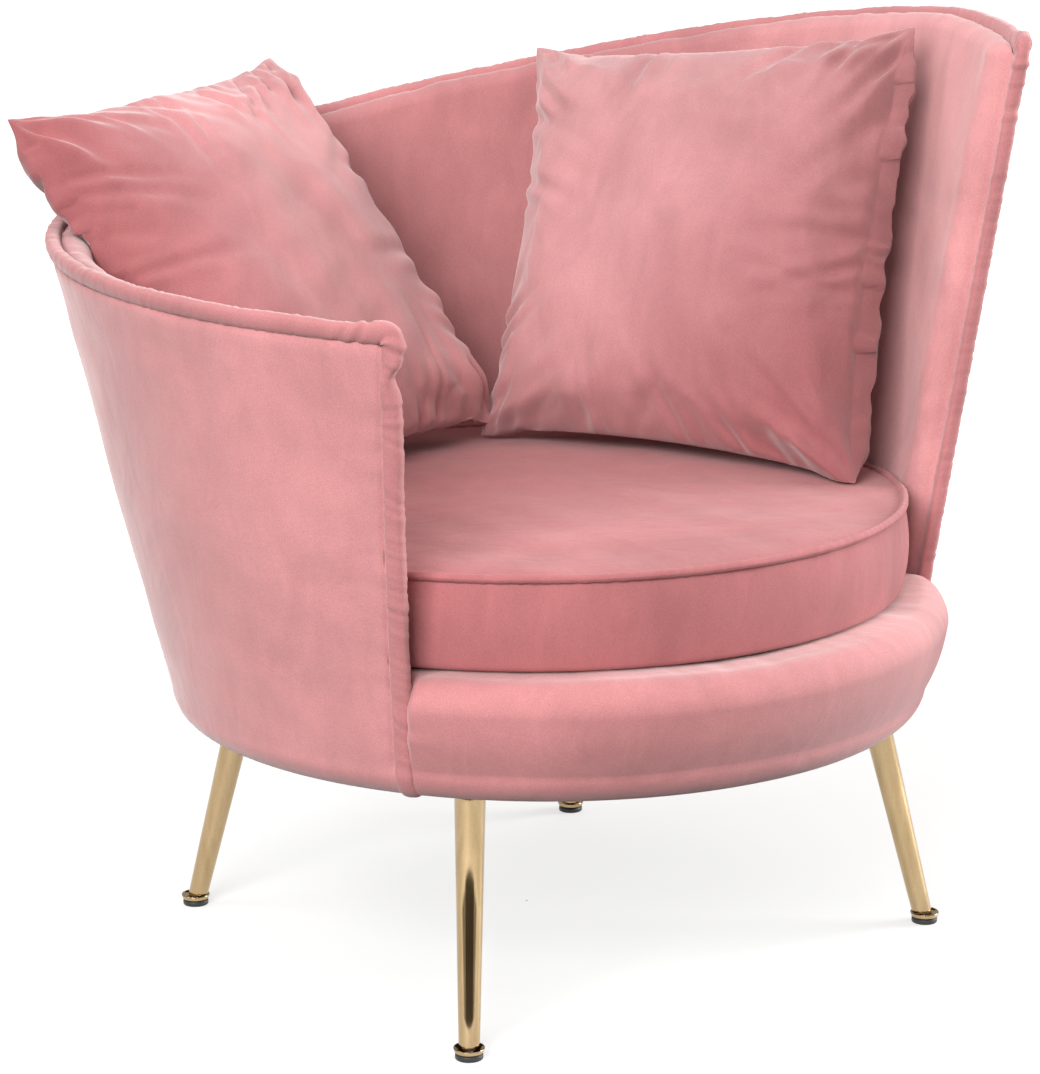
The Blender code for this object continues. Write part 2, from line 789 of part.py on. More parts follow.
def plate_centre(name):
    top = axis_point(name, PLATE_BOTTOM).xy
    inward = (Vector((BASE_X, BASE_Y)) - top).normalized()
    return top + inward * PLATE_INSET


def slanted(name, profile, finish, node, steps=16):
    """Turns (radius, height) and slants it along the leg: a round bar about the leg's
    axis whose ends are cut level."""
    obj = turned(node, profile, finish, steps)
    axis = leg_direction(name)
    level = Vector((axis.x, axis.y, 0.0)).normalized()
    for vertex in obj.data.vertices:
        across = vertex.co.dot(level)
        stretch = across * (1 / axis.z - 1)
        vertex.co += level * (stretch + vertex.co.z * math.hypot(axis.x, axis.y) / axis.z)
    obj.location = (*FEET[name], 0.0)
    return obj


def union(obj, other):
    other.hide_render = True
    other.display_type = "WIRE"
    modifier = obj.modifiers.new("joined", "BOOLEAN")
    modifier.operation = "UNION"
    modifier.solver = "EXACT"
    modifier.object = other


def build_leg(name):
    leg = slanted(name, [
        (0.0, BORE_TOP), (BORE_RADIUS, BORE_TOP), (BORE_RADIUS, LEG_BOTTOM),
        (LEG_BOTTOM_RADIUS, LEG_BOTTOM), (LEG_TOP_RADIUS, PLATE_BOTTOM + 0.001),
        (0.0, PLATE_BOTTOM + 0.001),
    ], BRASS, "leg_" + name)
    plate = plate_centre(name)
    disc = turned(f"plate_{name}", [
        (0.0, PLATE_BOTTOM), (PLATE_RADIUS, PLATE_BOTTOM),
        (PLATE_RADIUS, PLATE_BOTTOM + PLATE_THICKNESS), (0.0, PLATE_BOTTOM + PLATE_THICKNESS),
    ], BRASS, 24, (plate.x, plate.y))
    union(leg, disc)
    cut(leg, screw_cutter(f"leg_screw_holes_{name}", PLATE_BOTTOM - 0.01, PLATE_BOTTOM + 0.01))


def build_glide(name):
    """A threaded stem in the leg, held in a flared cup over the pad on the floor."""
    foot = FEET[name]
    stem = turned("glide_stem_" + name, [
        (0.0, 0.0064), (STEM_NECK, 0.0068), (STEM_NECK, 0.0118), (STEM_RADIUS, 0.0126),
        (STEM_RADIUS, STEM_TOP), (0.0, STEM_TOP),
    ], STEEL, 12)
    stem.rotation_mode = "QUATERNION"
    stem.rotation_quaternion = Vector((0, 0, 1)).rotation_difference(leg_direction(name))
    stem.location = (*foot, 0.0)
    low = PAD_HEIGHT + GAP
    turned("glide_cup_" + name, [
        (CUP_HOLE, low), (0.0116, low), (CUP_RADIUS, 0.0090), (CUP_RADIUS - 0.0003, 0.0099),
        (0.0118, 0.0094), (0.0106, 0.0082), (CUP_HOLE, 0.0080),
    ], BRASS, 20, foot)
    turned("glide_pad_" + name, [
        (0.0, 0.0), (PAD_RADIUS - 0.001, 0.0), (PAD_RADIUS, 0.001), (PAD_RADIUS, PAD_HEIGHT),
        (0.0, PAD_HEIGHT),
    ], PLASTIC, 20, foot)


def build_screws():
    head_low = PLATE_BOTTOM - 0.0026
    head_high = PLATE_BOTTOM - 0.0003
    for name, point in screw_points().items():
        turned("leg_screw_" + name, [
            (0.0, head_low), (SCREW_HEAD * 0.7, head_low), (SCREW_HEAD, head_high - 0.0006),
            (SCREW_HEAD, head_high), (SCREW_SHANK, head_high),
            (SCREW_SHANK, head_low + SCREW_LENGTH - 0.003), (0.0, head_low + SCREW_LENGTH),
        ], STEEL, 10, (point.x, point.y))


def build_legs():
    for name in FEET:
        build_leg(name)
        build_glide(name)
    build_screws()


def main():
    clear_scene()
    build_base_frame()
    build_springs()
    build_deck_pad()
    build_base_front()
    build_shell_board()
    build_shell_rail()
    build_shell_posts()
    build_shell_foam()
    build_shell_cover_outer()
    build_shell_cover_inner()
    build_shell_welt()
    build_cushion()
    build_pillows()
    build_legs()


main()
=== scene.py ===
"""Looks for the upholstered tub armchair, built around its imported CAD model.

Fabric, cushions and pillows are new pieces that stand for the plain CAD solids; the
hidden frame keeps its CAD shape and gets finer materials. Metres, +Z up, the chair
faces -Y.
"""

import json
import math

import bpy
import numpy as np
from mathutils import Matrix, Vector

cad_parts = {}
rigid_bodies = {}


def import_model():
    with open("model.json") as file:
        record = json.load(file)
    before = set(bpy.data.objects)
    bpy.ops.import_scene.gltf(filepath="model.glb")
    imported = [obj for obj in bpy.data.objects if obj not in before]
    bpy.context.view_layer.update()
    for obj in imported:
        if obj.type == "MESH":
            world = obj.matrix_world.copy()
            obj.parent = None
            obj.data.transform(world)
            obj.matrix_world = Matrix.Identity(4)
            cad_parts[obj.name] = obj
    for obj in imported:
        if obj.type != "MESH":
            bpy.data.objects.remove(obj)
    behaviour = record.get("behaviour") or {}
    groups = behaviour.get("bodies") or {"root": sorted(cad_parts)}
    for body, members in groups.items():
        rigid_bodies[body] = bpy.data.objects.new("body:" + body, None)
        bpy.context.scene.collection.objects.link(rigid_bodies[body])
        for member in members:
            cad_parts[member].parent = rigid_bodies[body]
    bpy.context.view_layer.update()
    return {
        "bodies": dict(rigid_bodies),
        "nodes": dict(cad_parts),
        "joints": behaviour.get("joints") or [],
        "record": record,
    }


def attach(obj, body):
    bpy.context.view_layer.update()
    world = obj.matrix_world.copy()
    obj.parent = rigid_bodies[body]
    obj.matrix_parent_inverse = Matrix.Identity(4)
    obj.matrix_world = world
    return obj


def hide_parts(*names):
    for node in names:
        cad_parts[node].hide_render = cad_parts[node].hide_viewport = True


# The shell's cone, as in the CAD.
BASE_X, BASE_Y = -0.0176, -0.0528
BASE_BOTTOM, BASE_WIDEST, SEAT_LEVEL = 0.210, 0.236, 0.314
BASE_RADIUS, SHELL_FLARE, SHELL_LEAN, EDGE_ROUND = 0.3346, 0.198, 0.0826, 0.026
RIGHT_EDGE, LEFT_EDGE, BACK, FRONT, WRAP_GROWTH = -29.2, 209.2, 90.0, 270.0, 0.1415
RIM_HEIGHTS = (
    (-29.2, 0.790), (-6.0, 0.803), (25.0, 0.779), (62.0, 0.724),
    (99.5, 0.669), (132.5, 0.636), (170.5, 0.619), (209.2, 0.605),
)
WALL, WALL_AT_SEAT, COVER_FOOT = 0.032, 0.022, 0.262
WELT_HEIGHT, WELT_DEPTH, WELT_PROUD, WELT_SPAN = 0.016, 0.0105, 0.0015, 3.1
WALL_RADIUS = BASE_RADIUS + 0.05

# The cushion and the pillows.
CUSHION_BOTTOM, PIPING_HEIGHT, CUSHION_RADIUS, CUSHION_SHIFT = 0.3155, 0.3925, 0.317, 0.0122
CUSHION_STRETCH, CUSHION_BULGE, CUSHION_CROWN, PIPING_RADIUS = 1.021, 0.0045, 0.009, 0.0036
PILLOW_HALF, PILLOW_PLUMP = 0.193, 0.060
PILLOWS = {
    "left": {"centre": (-0.134, 0.2112, 0.5793), "facing": -73.0, "lean": 35.0, "roll": 4.0},
    "right": {"centre": (0.211, 0.013, 0.5915), "facing": -161.0, "lean": 19.5, "roll": 3.0},
}

# Legs.
FEET = {
    "front_left": (-0.2781, -0.2715), "front_right": (0.2429, -0.2715),
    "back_left": (-0.2411, 0.1857), "back_right": (0.2059, 0.1857),
}
LEG_SPLAY, SPLAY_HEADING = 14.3, 50.0
PLATE_BOTTOM, PLATE_THICKNESS, PLATE_RADIUS, PLATE_INSET = 0.2067, 0.003, 0.030, 0.014

# The camera, in the CAD frame.
CAMERA_PLACE = (-1.8183, -2.2632, 1.0100)
CAMERA_FORWARD = (0.6091, 0.7609, -0.2237)
CAMERA_LENS, CAMERA_ROLL = 114.74, -0.16


# ------------------------------------------------------------------ shapes


def waves(points, length, seed, count=9):
    """A smooth random field over points, about -1 to 1, with features of a length."""
    rng = np.random.default_rng(seed)
    total = np.zeros(points.shape[:-1])
    for _ in range(count):
        heading = rng.normal(size=3)
        heading /= np.linalg.norm(heading)
        pace = 2 * math.pi / (length * rng.uniform(0.75, 1.6))
        total += np.sin(points @ (heading * pace) + rng.uniform(0, 2 * math.pi))
    return total / math.sqrt(count)


def ripples(track, length, seed, count=6):
    """The same along one measured direction."""
    rng = np.random.default_rng(seed)
    total = np.zeros(np.shape(track))
    for _ in range(count):
        total += np.sin(track * 2 * math.pi / (length * rng.uniform(0.65, 1.7)) + rng.uniform(0, 6.28))
    return total / math.sqrt(count)


def smooth(t):
    t = np.clip(t, 0.0, 1.0)
    return t * t * (3 - 2 * t)


def bell(distance, width):
    return np.exp(-(distance / width) ** 2)


def normals(grid, cyclic=False):
    """Unit normals of a grid of points, rows by columns."""
    if cyclic:
        across = np.roll(grid, -1, 1) - np.roll(grid, 1, 1)
    else:
        across = np.gradient(grid, axis=1)
    along = np.gradient(grid, axis=0)
    found = np.cross(across, along)
    size = np.linalg.norm(found, axis=-1, keepdims=True)
    return found / np.maximum(size, 1e-12)


def surface(name, grid, finish, cyclic=False, caps=False):
    """A smooth mesh through a grid of points; cyclic closes each row on itself."""
    rows, columns = grid.shape[:2]
    index = np.arange(rows * columns).reshape(rows, columns)
    ahead = np.roll(index, -1, 1) if cyclic else index[:, 1:]
    here = index if cyclic else index[:, :-1]
    faces = np.stack([here[:-1], ahead[:-1], ahead[1:], here[1:]], -1).reshape(-1, 4).tolist()
    if caps:
        faces.append(index[0][::-1].tolist())
        faces.append(index[-1].tolist())
    mesh = bpy.data.meshes.new(name)
    mesh.from_pydata(grid.reshape(-1, 3).tolist(), [], faces)
    mesh.shade_smooth()
    obj = bpy.data.objects.new(name, mesh)
    bpy.context.scene.collection.objects.link(obj)
    mesh.materials.append(finish)
    return obj


def lathe(name, profile, finish, steps=64, centre=(0.0, 0.0)):
    """A smooth body turned from a closed profile of (radius, height)."""
    turn = np.linspace(0, 2 * math.pi, steps, endpoint=False)
    radius, height = np.array(profile).T
    grid = np.stack([
        centre[0] + radius[:, None] * np.cos(turn),
        centre[1] + radius[:, None] * np.sin(turn),
        np.repeat(height[:, None], steps, 1),
    ], -1)
    return surface(name, grid, finish, cyclic=True)


def arc(centre, radius, start, end, count):
    turn = np.radians(np.linspace(start, end, count))
    return centre[0] + radius * np.cos(turn), centre[1] + radius * np.sin(turn)


def rim_height(angle):
    """Height of the top of the rim: a smooth curve through RIM_HEIGHTS."""
    knots, heights = np.array(RIM_HEIGHTS).T
    slopes = np.empty_like(heights)
    slopes[1:-1] = (heights[2:] - heights[:-2]) / (knots[2:] - knots[:-2])
    slopes[0] = (heights[1] - heights[0]) / (knots[1] - knots[0])
    slopes[-1] = (heights[-1] - heights[-2]) / (knots[-1] - knots[-2])
    angle = np.clip(angle, knots[0], knots[-1])
    i = np.clip(np.searchsorted(knots, angle) - 1, 0, len(knots) - 2)
    span = knots[i + 1] - knots[i]
    t = (angle - knots[i]) / span
    low = heights[i] * (1 + 2 * t) * (1 - t) ** 2 + slopes[i] * span * t * (1 - t) ** 2
    return low + heights[i + 1] * (3 - 2 * t) * t * t - slopes[i + 1] * span * (1 - t) * t * t


def wall(angle, depth, height):
    """Points on the shell: a direction at the base, a depth from the outer face, a height."""
    rise = np.maximum(height - BASE_WIDEST, 0.0)
    turn = np.radians(BACK + (angle - BACK) * (1 + WRAP_GROWTH * rise))
    radius = BASE_RADIUS + SHELL_FLARE * (height - BASE_WIDEST) - depth
    x = BASE_X + radius * np.cos(turn)
    y = BASE_Y + SHELL_LEAN * rise + radius * np.sin(turn)
    return np.stack(np.broadcast_arrays(x, y, height), -1)


def wall_depth(height):
    return WALL_AT_SEAT + (WALL - WALL_AT_SEAT) * smooth((height - SEAT_LEVEL) / 0.08)


def below_base(count=12):
    """(radius, height) of the fold under the base, from its inner edge out."""
    radius, height = arc((BASE_RADIUS - EDGE_ROUND, BASE_WIDEST), EDGE_ROUND, -90, 0, count)
    return np.append(0.287, radius), np.append(BASE_BOTTOM, height)


# ------------------------------------------------------------------ materials


def new_material(name, colour, roughness, metallic=0.0, **sockets):
    made = bpy.data.materials.new(name)
    made.use_nodes = True
    shader = made.node_tree.nodes["Principled BSDF"]
    shader.inputs["Base Color"].default_value = (*colour, 1.0)
    shader.inputs["Roughness"].default_value = roughness
    shader.inputs["Metallic"].default_value = metallic
    for socket, value in sockets.items():
        shader.inputs[socket.replace("_", " ")].default_value = value
    return made, shader


def noise_node(tree, place, scale, detail=3.0, distortion=0.0, stretch=None):
    node = tree.nodes.new("ShaderNodeTexNoise")
    node.inputs["Scale"].default_value = scale
    node.inputs["Detail"].default_value = detail
    node.inputs["Distortion"].default_value = distortion
    if stretch is None:
        tree.links.new(place, node.inputs["Vector"])
    else:
        mapping = tree.nodes.new("ShaderNodeMapping")
        mapping.inputs["Scale"].default_value = stretch
        tree.links.new(place, mapping.inputs["Vector"])
        tree.links.new(mapping.outputs["Vector"], node.inputs["Vector"])
    return node.outputs["Fac"]


def ramp_node(tree, factor, stops):
    """A colour ramp through (position, colour) stops."""
    node = tree.nodes.new("ShaderNodeValToRGB")
    ends = node.color_ramp.elements
    ends[0].position, ends[0].color = stops[0][0], (*stops[0][1], 1.0)
    ends[1].position, ends[1].color = stops[-1][0], (*stops[-1][1], 1.0)
    for position, colour in stops[1:-1]:
        ends.new(position).color = (*colour, 1.0)
    tree.links.new(factor, node.inputs["Fac"])
    return node.outputs["Color"]


def multiply_node(tree, first, second, amount=1.0):
    node = tree.nodes.new("ShaderNodeMix")
    node.data_type = "RGBA"
    node.blend_type = "MULTIPLY"
    node.inputs["Factor"].default_value = amount
    tree.links.new(first, node.inputs["A"])
    tree.links.new(second, node.inputs["B"])
    return node.outputs["Result"]


def bump_node(tree, height, strength, distance, below=None):
    node = tree.nodes.new("ShaderNodeBump")
    node.inputs["Strength"].default_value = strength
    node.inputs["Distance"].default_value = distance
    tree.links.new(height, node.inputs["Height"])
    if below is not None:
        tree.links.new(below, node.inputs["Normal"])
    return node.outputs["Normal"]


def grey(value):
    return (value, value, value)


def velvet(name, tone, sheen, painted_shade_fall=None):
    """Short-pile velvet: brushed patches of lighter and darker nap, streaks, fine pile.
    The tone is the middle colour, and the way the nap lies sets how strong its sheen is.
    The last argument paints shade on the colour: a direction with two distances along it. Before the first
    distance the colour is painted down to the given shade colour; towards the second it lightens to full
    tone, unevenly where the brushed noise is low."""
    made, shader = new_material(
        name, tone, 0.80,
        Sheen_Weight=sheen, Sheen_Roughness=0.50, Sheen_Tint=(1.0, 0.93, 0.92, 1.0),
        Specular_IOR_Level=0.12,
    )
    tree = made.node_tree
    place = tree.nodes.new("ShaderNodeTexCoord").outputs["Object"]
    brushed = noise_node(tree, place, 5.5, 5.0, 1.0)
    colour = ramp_node(tree, brushed, [
        (0.28, tuple(0.88 * c for c in tone)), (0.50, tone), (0.72, tuple(1.10 * c for c in tone)),
    ])
    streaks = noise_node(tree, place, 34.0, 4.0, 1.2, stretch=(1.0, 1.0, 0.35))
    colour = multiply_node(tree, colour, ramp_node(tree, streaks, [(0.3, grey(0.93)), (0.7, grey(1.03))]))
    pile = noise_node(tree, place, 1000.0, 3.0)
    colour = multiply_node(tree, colour, ramp_node(tree, pile, [(0.30, grey(0.87)), (0.70, grey(1.10))]))
    # Painted shade: the colour darkens along a direction, unevenly, down to the given shade colour.
    if painted_shade_fall is not None:
        direction, dark_at, light_at, deepest_painted_shade = painted_shade_fall
        along = tree.nodes.new("ShaderNodeVectorMath")
        along.operation = "DOT_PRODUCT"
        along.inputs[1].default_value = direction
        tree.links.new(place, along.inputs[0])
        share = tree.nodes.new("ShaderNodeMapRange")
        share.inputs["From Min"].default_value = dark_at
        share.inputs["From Max"].default_value = light_at
        tree.links.new(along.outputs["Value"], share.inputs["Value"])
        painted_shade_unevenness = ramp_node(tree, brushed, [(0.2, grey(0.6)), (0.8, grey(1.4))])
        edge = multiply_node(tree, share.outputs["Result"], painted_shade_unevenness)
        colour = multiply_node(tree, colour, ramp_node(tree, edge, [(0.0, deepest_painted_shade), (1.0, grey(1.0))]))
    tree.links.new(colour, shader.inputs["Base Color"])
    bump = bump_node(tree, pile, 0.25, 0.0008)
    bump = bump_node(tree, streaks, 0.20, 0.0028, bump)
    bump = bump_node(tree, brushed, 0.25, 0.0140, bump)
    tree.links.new(bump, shader.inputs["Normal"])
    return made


def cloth_lining(name, colour, scale):
    """A plain woven or bonded cloth: two crossed waves for the yarns, noise for the lint."""
    made, shader = new_material(name, colour, 0.88, Sheen_Weight=0.15, Specular_IOR_Level=0.2)
    tree = made.node_tree
    place = tree.nodes.new("ShaderNodeTexCoord").outputs["Object"]
    yarns = []
    for direction in ("X", "Y"):
        wave = tree.nodes.new("ShaderNodeTexWave")
        wave.bands_direction = direction
        wave.inputs["Scale"].default_value = scale
        wave.inputs["Distortion"].default_value = 0.6
        tree.links.new(place, wave.inputs["Vector"])
        yarns.append(wave.outputs["Fac"])
    weave = tree.nodes.new("ShaderNodeMath")
    weave.operation = "MULTIPLY"
    tree.links.new(yarns[0], weave.inputs[0])
    tree.links.new(yarns[1], weave.inputs[1])
    low = tuple(0.72 * c for c in colour)
    tone = ramp_node(tree, weave.outputs["Value"], [(0.0, low), (0.6, colour)])
    lint = ramp_node(tree, noise_node(tree, place, 260.0), [(0.35, grey(0.82)), (0.7, grey(1.0))])
    tree.links.new(multiply_node(tree, tone, lint), shader.inputs["Base Color"])
    tree.links.new(bump_node(tree, weave.outputs["Value"], 0.35, 0.0005), shader.inputs["Normal"])
    return made


def brass():
    """Polished, lightly lacquered brass with faint rubbing along the tube and spots."""
    made, shader = new_material(
        "polished_brass", (0.45, 0.32, 0.17), 0.12, 1.0,
        Coat_Weight=0.2, Coat_Roughness=0.06,
    )
    tree = made.node_tree
    place = tree.nodes.new("ShaderNodeTexCoord").outputs["Object"]
    rubbed = noise_node(tree, place, 90.0, 4.0, 0.3, stretch=(1.0, 1.0, 0.12))
    spots = noise_node(tree, place, 420.0, 2.0)
    colour = ramp_node(tree, rubbed, [(0.3, (0.42, 0.295, 0.150)), (0.7, (0.53, 0.385, 0.215))])
    wear = ramp_node(tree, spots, [(0.32, grey(0.95)), (0.5, grey(1.0))])
    tree.links.new(multiply_node(tree, colour, wear), shader.inputs["Base Color"])
    rough = tree.nodes.new("ShaderNodeMapRange")
    rough.inputs["To Min"].default_value = 0.07
    rough.inputs["To Max"].default_value = 0.15
    tree.links.new(rubbed, rough.inputs["Value"])
    tree.links.new(rough.outputs["Result"], shader.inputs["Roughness"])
    tree.links.new(bump_node(tree, rubbed, 0.015, 0.0004), shader.inputs["Normal"])
    return made


def grained(name, dark, light, roughness, metallic, scale, stretch, strength):
    """Wood, board, wire, plastic or foam: two tones through stretched noise, with bump."""
    made, shader = new_material(name, light, roughness, metallic)
    tree = made.node_tree
    place = tree.nodes.new("ShaderNodeTexCoord").outputs["Object"]
    grain = noise_node(tree, place, scale, 5.0, 0.7, stretch=stretch)
    tree.links.new(ramp_node(tree, grain, [(0.3, dark), (0.7, light)]), shader.inputs["Base Color"])
    fine = noise_node(tree, place, scale * 9, 2.0)
    bump = bump_node(tree, grain, strength, 0.0008)
    tree.links.new(bump_node(tree, fine, strength, 0.0003, bump), shader.inputs["Normal"])
    return made


# ------------------------------------------------------------------ the shell


def edge_spacing(count, clusters=(0.0, 0.0006, 0.0015, 0.003, 0.005, 0.0075, 0.0105, 0.014, 0.018)):
    """Directions along the wall from right to left, close together near both ends."""
    per_metre = math.degrees(1 / WALL_RADIUS)
    near = np.array(clusters) * per_metre
    middle = np.linspace(RIGHT_EDGE + near[-1], LEFT_EDGE - near[-1], count)[1:-1]
    return np.concatenate([RIGHT_EDGE + near, middle, LEFT_EDGE - near[::-1]])


def edge_distance(angle):
    return np.radians(np.minimum(angle - RIGHT_EDGE, LEFT_EDGE - angle)) * WALL_RADIUS


def outer_cover(finish):
    """The taut outer fabric, from under the base up to the welt, tucked in at its ends."""
    angle = edge_spacing(300)
    angle[0] -= 0.3
    angle[-1] += 0.3
    radius, height = below_base()
    turn = np.radians(angle)
    low = np.stack([
        BASE_X + radius[:, None] * np.cos(turn),
        BASE_Y + radius[:, None] * np.sin(turn),
        np.repeat(height[:, None], len(angle), 1),
    ], -1)
    share = np.linspace(0.0, 1.0, 70)[1:, None]
    seam = rim_height(angle) - WELT_HEIGHT + 0.004
    heights = BASE_WIDEST + share * (seam - BASE_WIDEST)
    tuck = 0.0052 * smooth((heights - seam + 0.0075) / 0.0065)
    tuck = tuck + 0.0016 * (1 - smooth(edge_distance(angle) / 0.004))
    high = wall(np.broadcast_to(angle, heights.shape), tuck, heights)
    grid = np.concatenate([low, high])
    rows = grid[..., 2]
    track = turn[None, :] * 0.4
    near_seam = np.exp(-np.maximum(seam - rows, 0.0) / 0.016)
    near_end = np.exp(-np.maximum(edge_distance(angle), 0) / 0.016)[None, :]
    rise = 0.0009 * waves(grid, 0.16, 11) + 0.00035 * waves(grid, 0.05, 12)
    rise = rise + 0.00055 * near_seam * ripples(track + 0.3 * rows, 0.017, 13)
    rise = rise + 0.00055 * near_end * ripples(rows, 0.019, 14)
    steady = smooth((rows - BASE_BOTTOM) / 0.02)
    grid = grid + normals(grid) * (rise * steady)[..., None]
    return surface("outer_cover_skin", grid, finish)


def inner_cover(finish):
    """The padded inner fabric: up the inside, over the rim and round the two front ends."""
    angle = edge_spacing(340, (0.0, 0.0003, 0.001, 0.0022, 0.004, 0.0062, 0.009, 0.0122, 0.016, 0.020))
    reach = 0.020
    angle = np.concatenate([[RIGHT_EDGE - 0.6], angle, [LEFT_EDGE + 0.6]])
    sunk = np.zeros(len(angle))
    sunk[[0, -1]] = 0.0045
    near = np.clip(edge_distance(angle) / reach, 0.0, 1.0)
    full = np.sqrt(np.maximum(1 - (1 - near) ** 2, 0.0))
    top = rim_height(angle)
    shrink = 0.0008 * (1 - full)
    roll = 0.0130
    centre_depth = WELT_DEPTH + (0.0190 - WELT_DEPTH) * full
    centre_height = top - 0.0190 - shrink
    share = np.linspace(0.0, 1.0, 64)[:, None] ** 0.9
    heights = COVER_FOOT + share * (centre_height - COVER_FOOT)
    depth = WELT_DEPTH + (wall_depth(heights) - WELT_DEPTH) * full
    turn = np.radians(np.linspace(0, 90, 14))[1:, None]
    over_depth = centre_depth + roll * np.cos(turn) * full
    over_height = centre_height + roll * np.sin(turn) * (0.4 + 0.6 * full)
    tuck_depth = WELT_DEPTH + (centre_depth - WELT_DEPTH) * np.array([0.55, 0.15, 0.0])[:, None]
    tuck_height = over_height[-1] - np.array([0.0002, 0.0012, 0.0045])[:, None]
    depth = np.concatenate([depth, over_depth, tuck_depth]) - sunk
    heights = np.concatenate([heights, over_height, tuck_height])
    grid = wall(np.broadcast_to(angle, heights.shape), depth, heights)
    track = np.radians(angle)[None, :] * 0.4
    below = np.maximum(top - heights, 0.0)
    at_rim = np.exp(-below / 0.030)
    at_end = np.exp(-np.maximum(edge_distance(angle), 0) / 0.030)[None, :]
    rise = 0.0012 * waves(grid, 0.17, 21) + 0.0005 * waves(grid, 0.06, 22)
    rise = rise + 0.0006 * at_rim * ripples(track + 0.35 * heights, 0.034, 23)
    rise = rise + 0.0003 * at_rim ** 3 * ripples(track - 0.5 * heights, 0.013, 24)
    rise = (rise + 0.0007 * at_end * ripples(heights + 0.2 * track, 0.034, 25)) * full
    grid = grid - normals(grid) * rise[..., None]
    return surface("inner_cover_skin", grid, finish)


def welt_stations():
    """Along the welt: its seam line, the way its width and its thickness run, its two corners."""
    places, widths, depths, corners = [], [], [], []

    def add(angle, height, toward_up, side):
        here = wall(angle, -WELT_PROUD, height)
        up = wall(angle, -WELT_PROUD, height + 1e-3) - here
        along = wall(angle + 0.05 * side, -WELT_PROUD, height) - here
        up, along = up / np.linalg.norm(up), along / np.linalg.norm(along)
        inward = wall(angle, 0.001, height) - here
        turn = toward_up * math.pi / 2
        places.append(here)
        widths.append(math.cos(turn) * along + math.sin(turn) * up)
        depths.append(inward / np.linalg.norm(inward))

    def under(angle, side):
        """The few stations that turn under the base."""
        found = []
        for tilt in np.linspace(-80, -8, 9):
            corner = (BASE_RADIUS - EDGE_ROUND, BASE_WIDEST)
            radius, height = arc(corner, EDGE_ROUND + WELT_PROUD, tilt, tilt, 1)
            turn, ahead = math.radians(angle), math.radians(angle + 90 * side)
            place = np.array([
                BASE_X + radius[0] * math.cos(turn), BASE_Y + radius[0] * math.sin(turn), height[0],
            ])
            flat = np.array([math.cos(ahead), math.sin(ahead), 0.0])
            pitch = math.radians(tilt)
            inward = -np.array([
                math.cos(turn) * math.cos(pitch), math.sin(turn) * math.cos(pitch), math.sin(pitch),
            ])
            found.append((place, flat, inward))
        return found

    left, right = LEFT_EDGE + 0.02, RIGHT_EDGE - 0.02
    for place, flat, inward in under(left, 1):
        places.append(place)
        widths.append(flat)
        depths.append(inward)
    corner = rim_height(LEFT_EDGE) - WELT_HEIGHT
    for height in np.linspace(BASE_WIDEST, corner, 150):
        add(left, height, 0.0, 1)
    corners.append(len(places) + 5)
    for share in np.linspace(0, 1, 12)[1:-1]:
        add(left, corner, share, 1)
    for angle in np.linspace(LEFT_EDGE, RIGHT_EDGE, 620):
        add(angle, rim_height(angle) - WELT_HEIGHT, 1.0, 1)
    corner = rim_height(RIGHT_EDGE) - WELT_HEIGHT
    corners.append(len(places) + 5)
    for share in np.linspace(1, 0, 12)[1:-1]:
        add(right, corner, share, -1)
    for height in np.linspace(corner, BASE_WIDEST, 200):
        add(right, height, 0.0, -1)
    for place, flat, inward in under(right, -1)[::-1]:
        places.append(place)
        widths.append(flat)
        depths.append(inward)
    return np.array(places), np.array(widths), np.array(depths), corners


def welt(finish):
    """The flat folded band along the rim and down both front edges, finely wrinkled."""
    places, widths, depths, corners = welt_stations()
    step = np.linalg.norm(np.diff(places, axis=0), axis=1)
    track = np.concatenate([[0.0], np.cumsum(np.maximum(step, 0.0012))])
    count = 28
    turn = np.linspace(0, 2 * math.pi, count, endpoint=False)
    across = 0.5 + 0.5 * np.sign(np.cos(turn)) * np.abs(np.cos(turn)) ** 0.55
    through = 0.5 - 0.5 * np.sign(np.sin(turn)) * np.abs(np.sin(turn)) ** 0.70
    from_left, from_right = track - track[corners[0]], track - track[corners[1]]
    notch = 0.34 * bell(from_left + 0.034, 0.009) - 0.20 * bell(from_left, 0.016)
    notch -= 0.30 * bell(from_right, 0.022)
    twist = 0.0030 * (bell(from_left + 0.022, 0.010) - bell(from_left + 0.044, 0.010))
    twist += 0.0012 * (bell(from_right - 0.026, 0.012) - bell(from_right - 0.052, 0.012))
    width = WELT_HEIGHT * (1 - notch + 0.03 * ripples(track, 0.06, 31))[:, None]
    thick = (WELT_DEPTH + WELT_PROUD) * np.ones_like(width)
    grid = (
        places[:, None, :]
        + widths[:, None, :] * (width * across)[..., None]
        + depths[:, None, :] * (thick * through)[..., None]
    )
    slant = track[:, None] + 0.007 * (across[None, :] - 0.5) * (1 + ripples(track, 0.10, 32)[:, None])
    folds = 0.00026 * ripples(slant, 0.0075, 33) + 0.00022 * ripples(slant, 0.021, 34)
    bunched = bell(from_left, 0.040) + bell(from_right, 0.050)
    folds = folds + 0.00075 * bunched[:, None] * ripples(slant, 0.0105, 35)
    facing = np.sin(turn)[None, :]
    crest = 0.0011 * np.exp(-((across - 0.5) / 0.35) ** 2)[None, :] * np.maximum(facing, 0)
    crest = crest + twist[:, None] * (2 * across - 1)[None, :] * np.maximum(facing, 0)
    outward = -depths[:, None, :] * facing[..., None] + widths[:, None, :] * np.cos(turn)[None, :, None]
    grid = grid + outward * (folds + crest)[..., None]
    return surface("rim_welt", grid, finish, cyclic=True, caps=True)


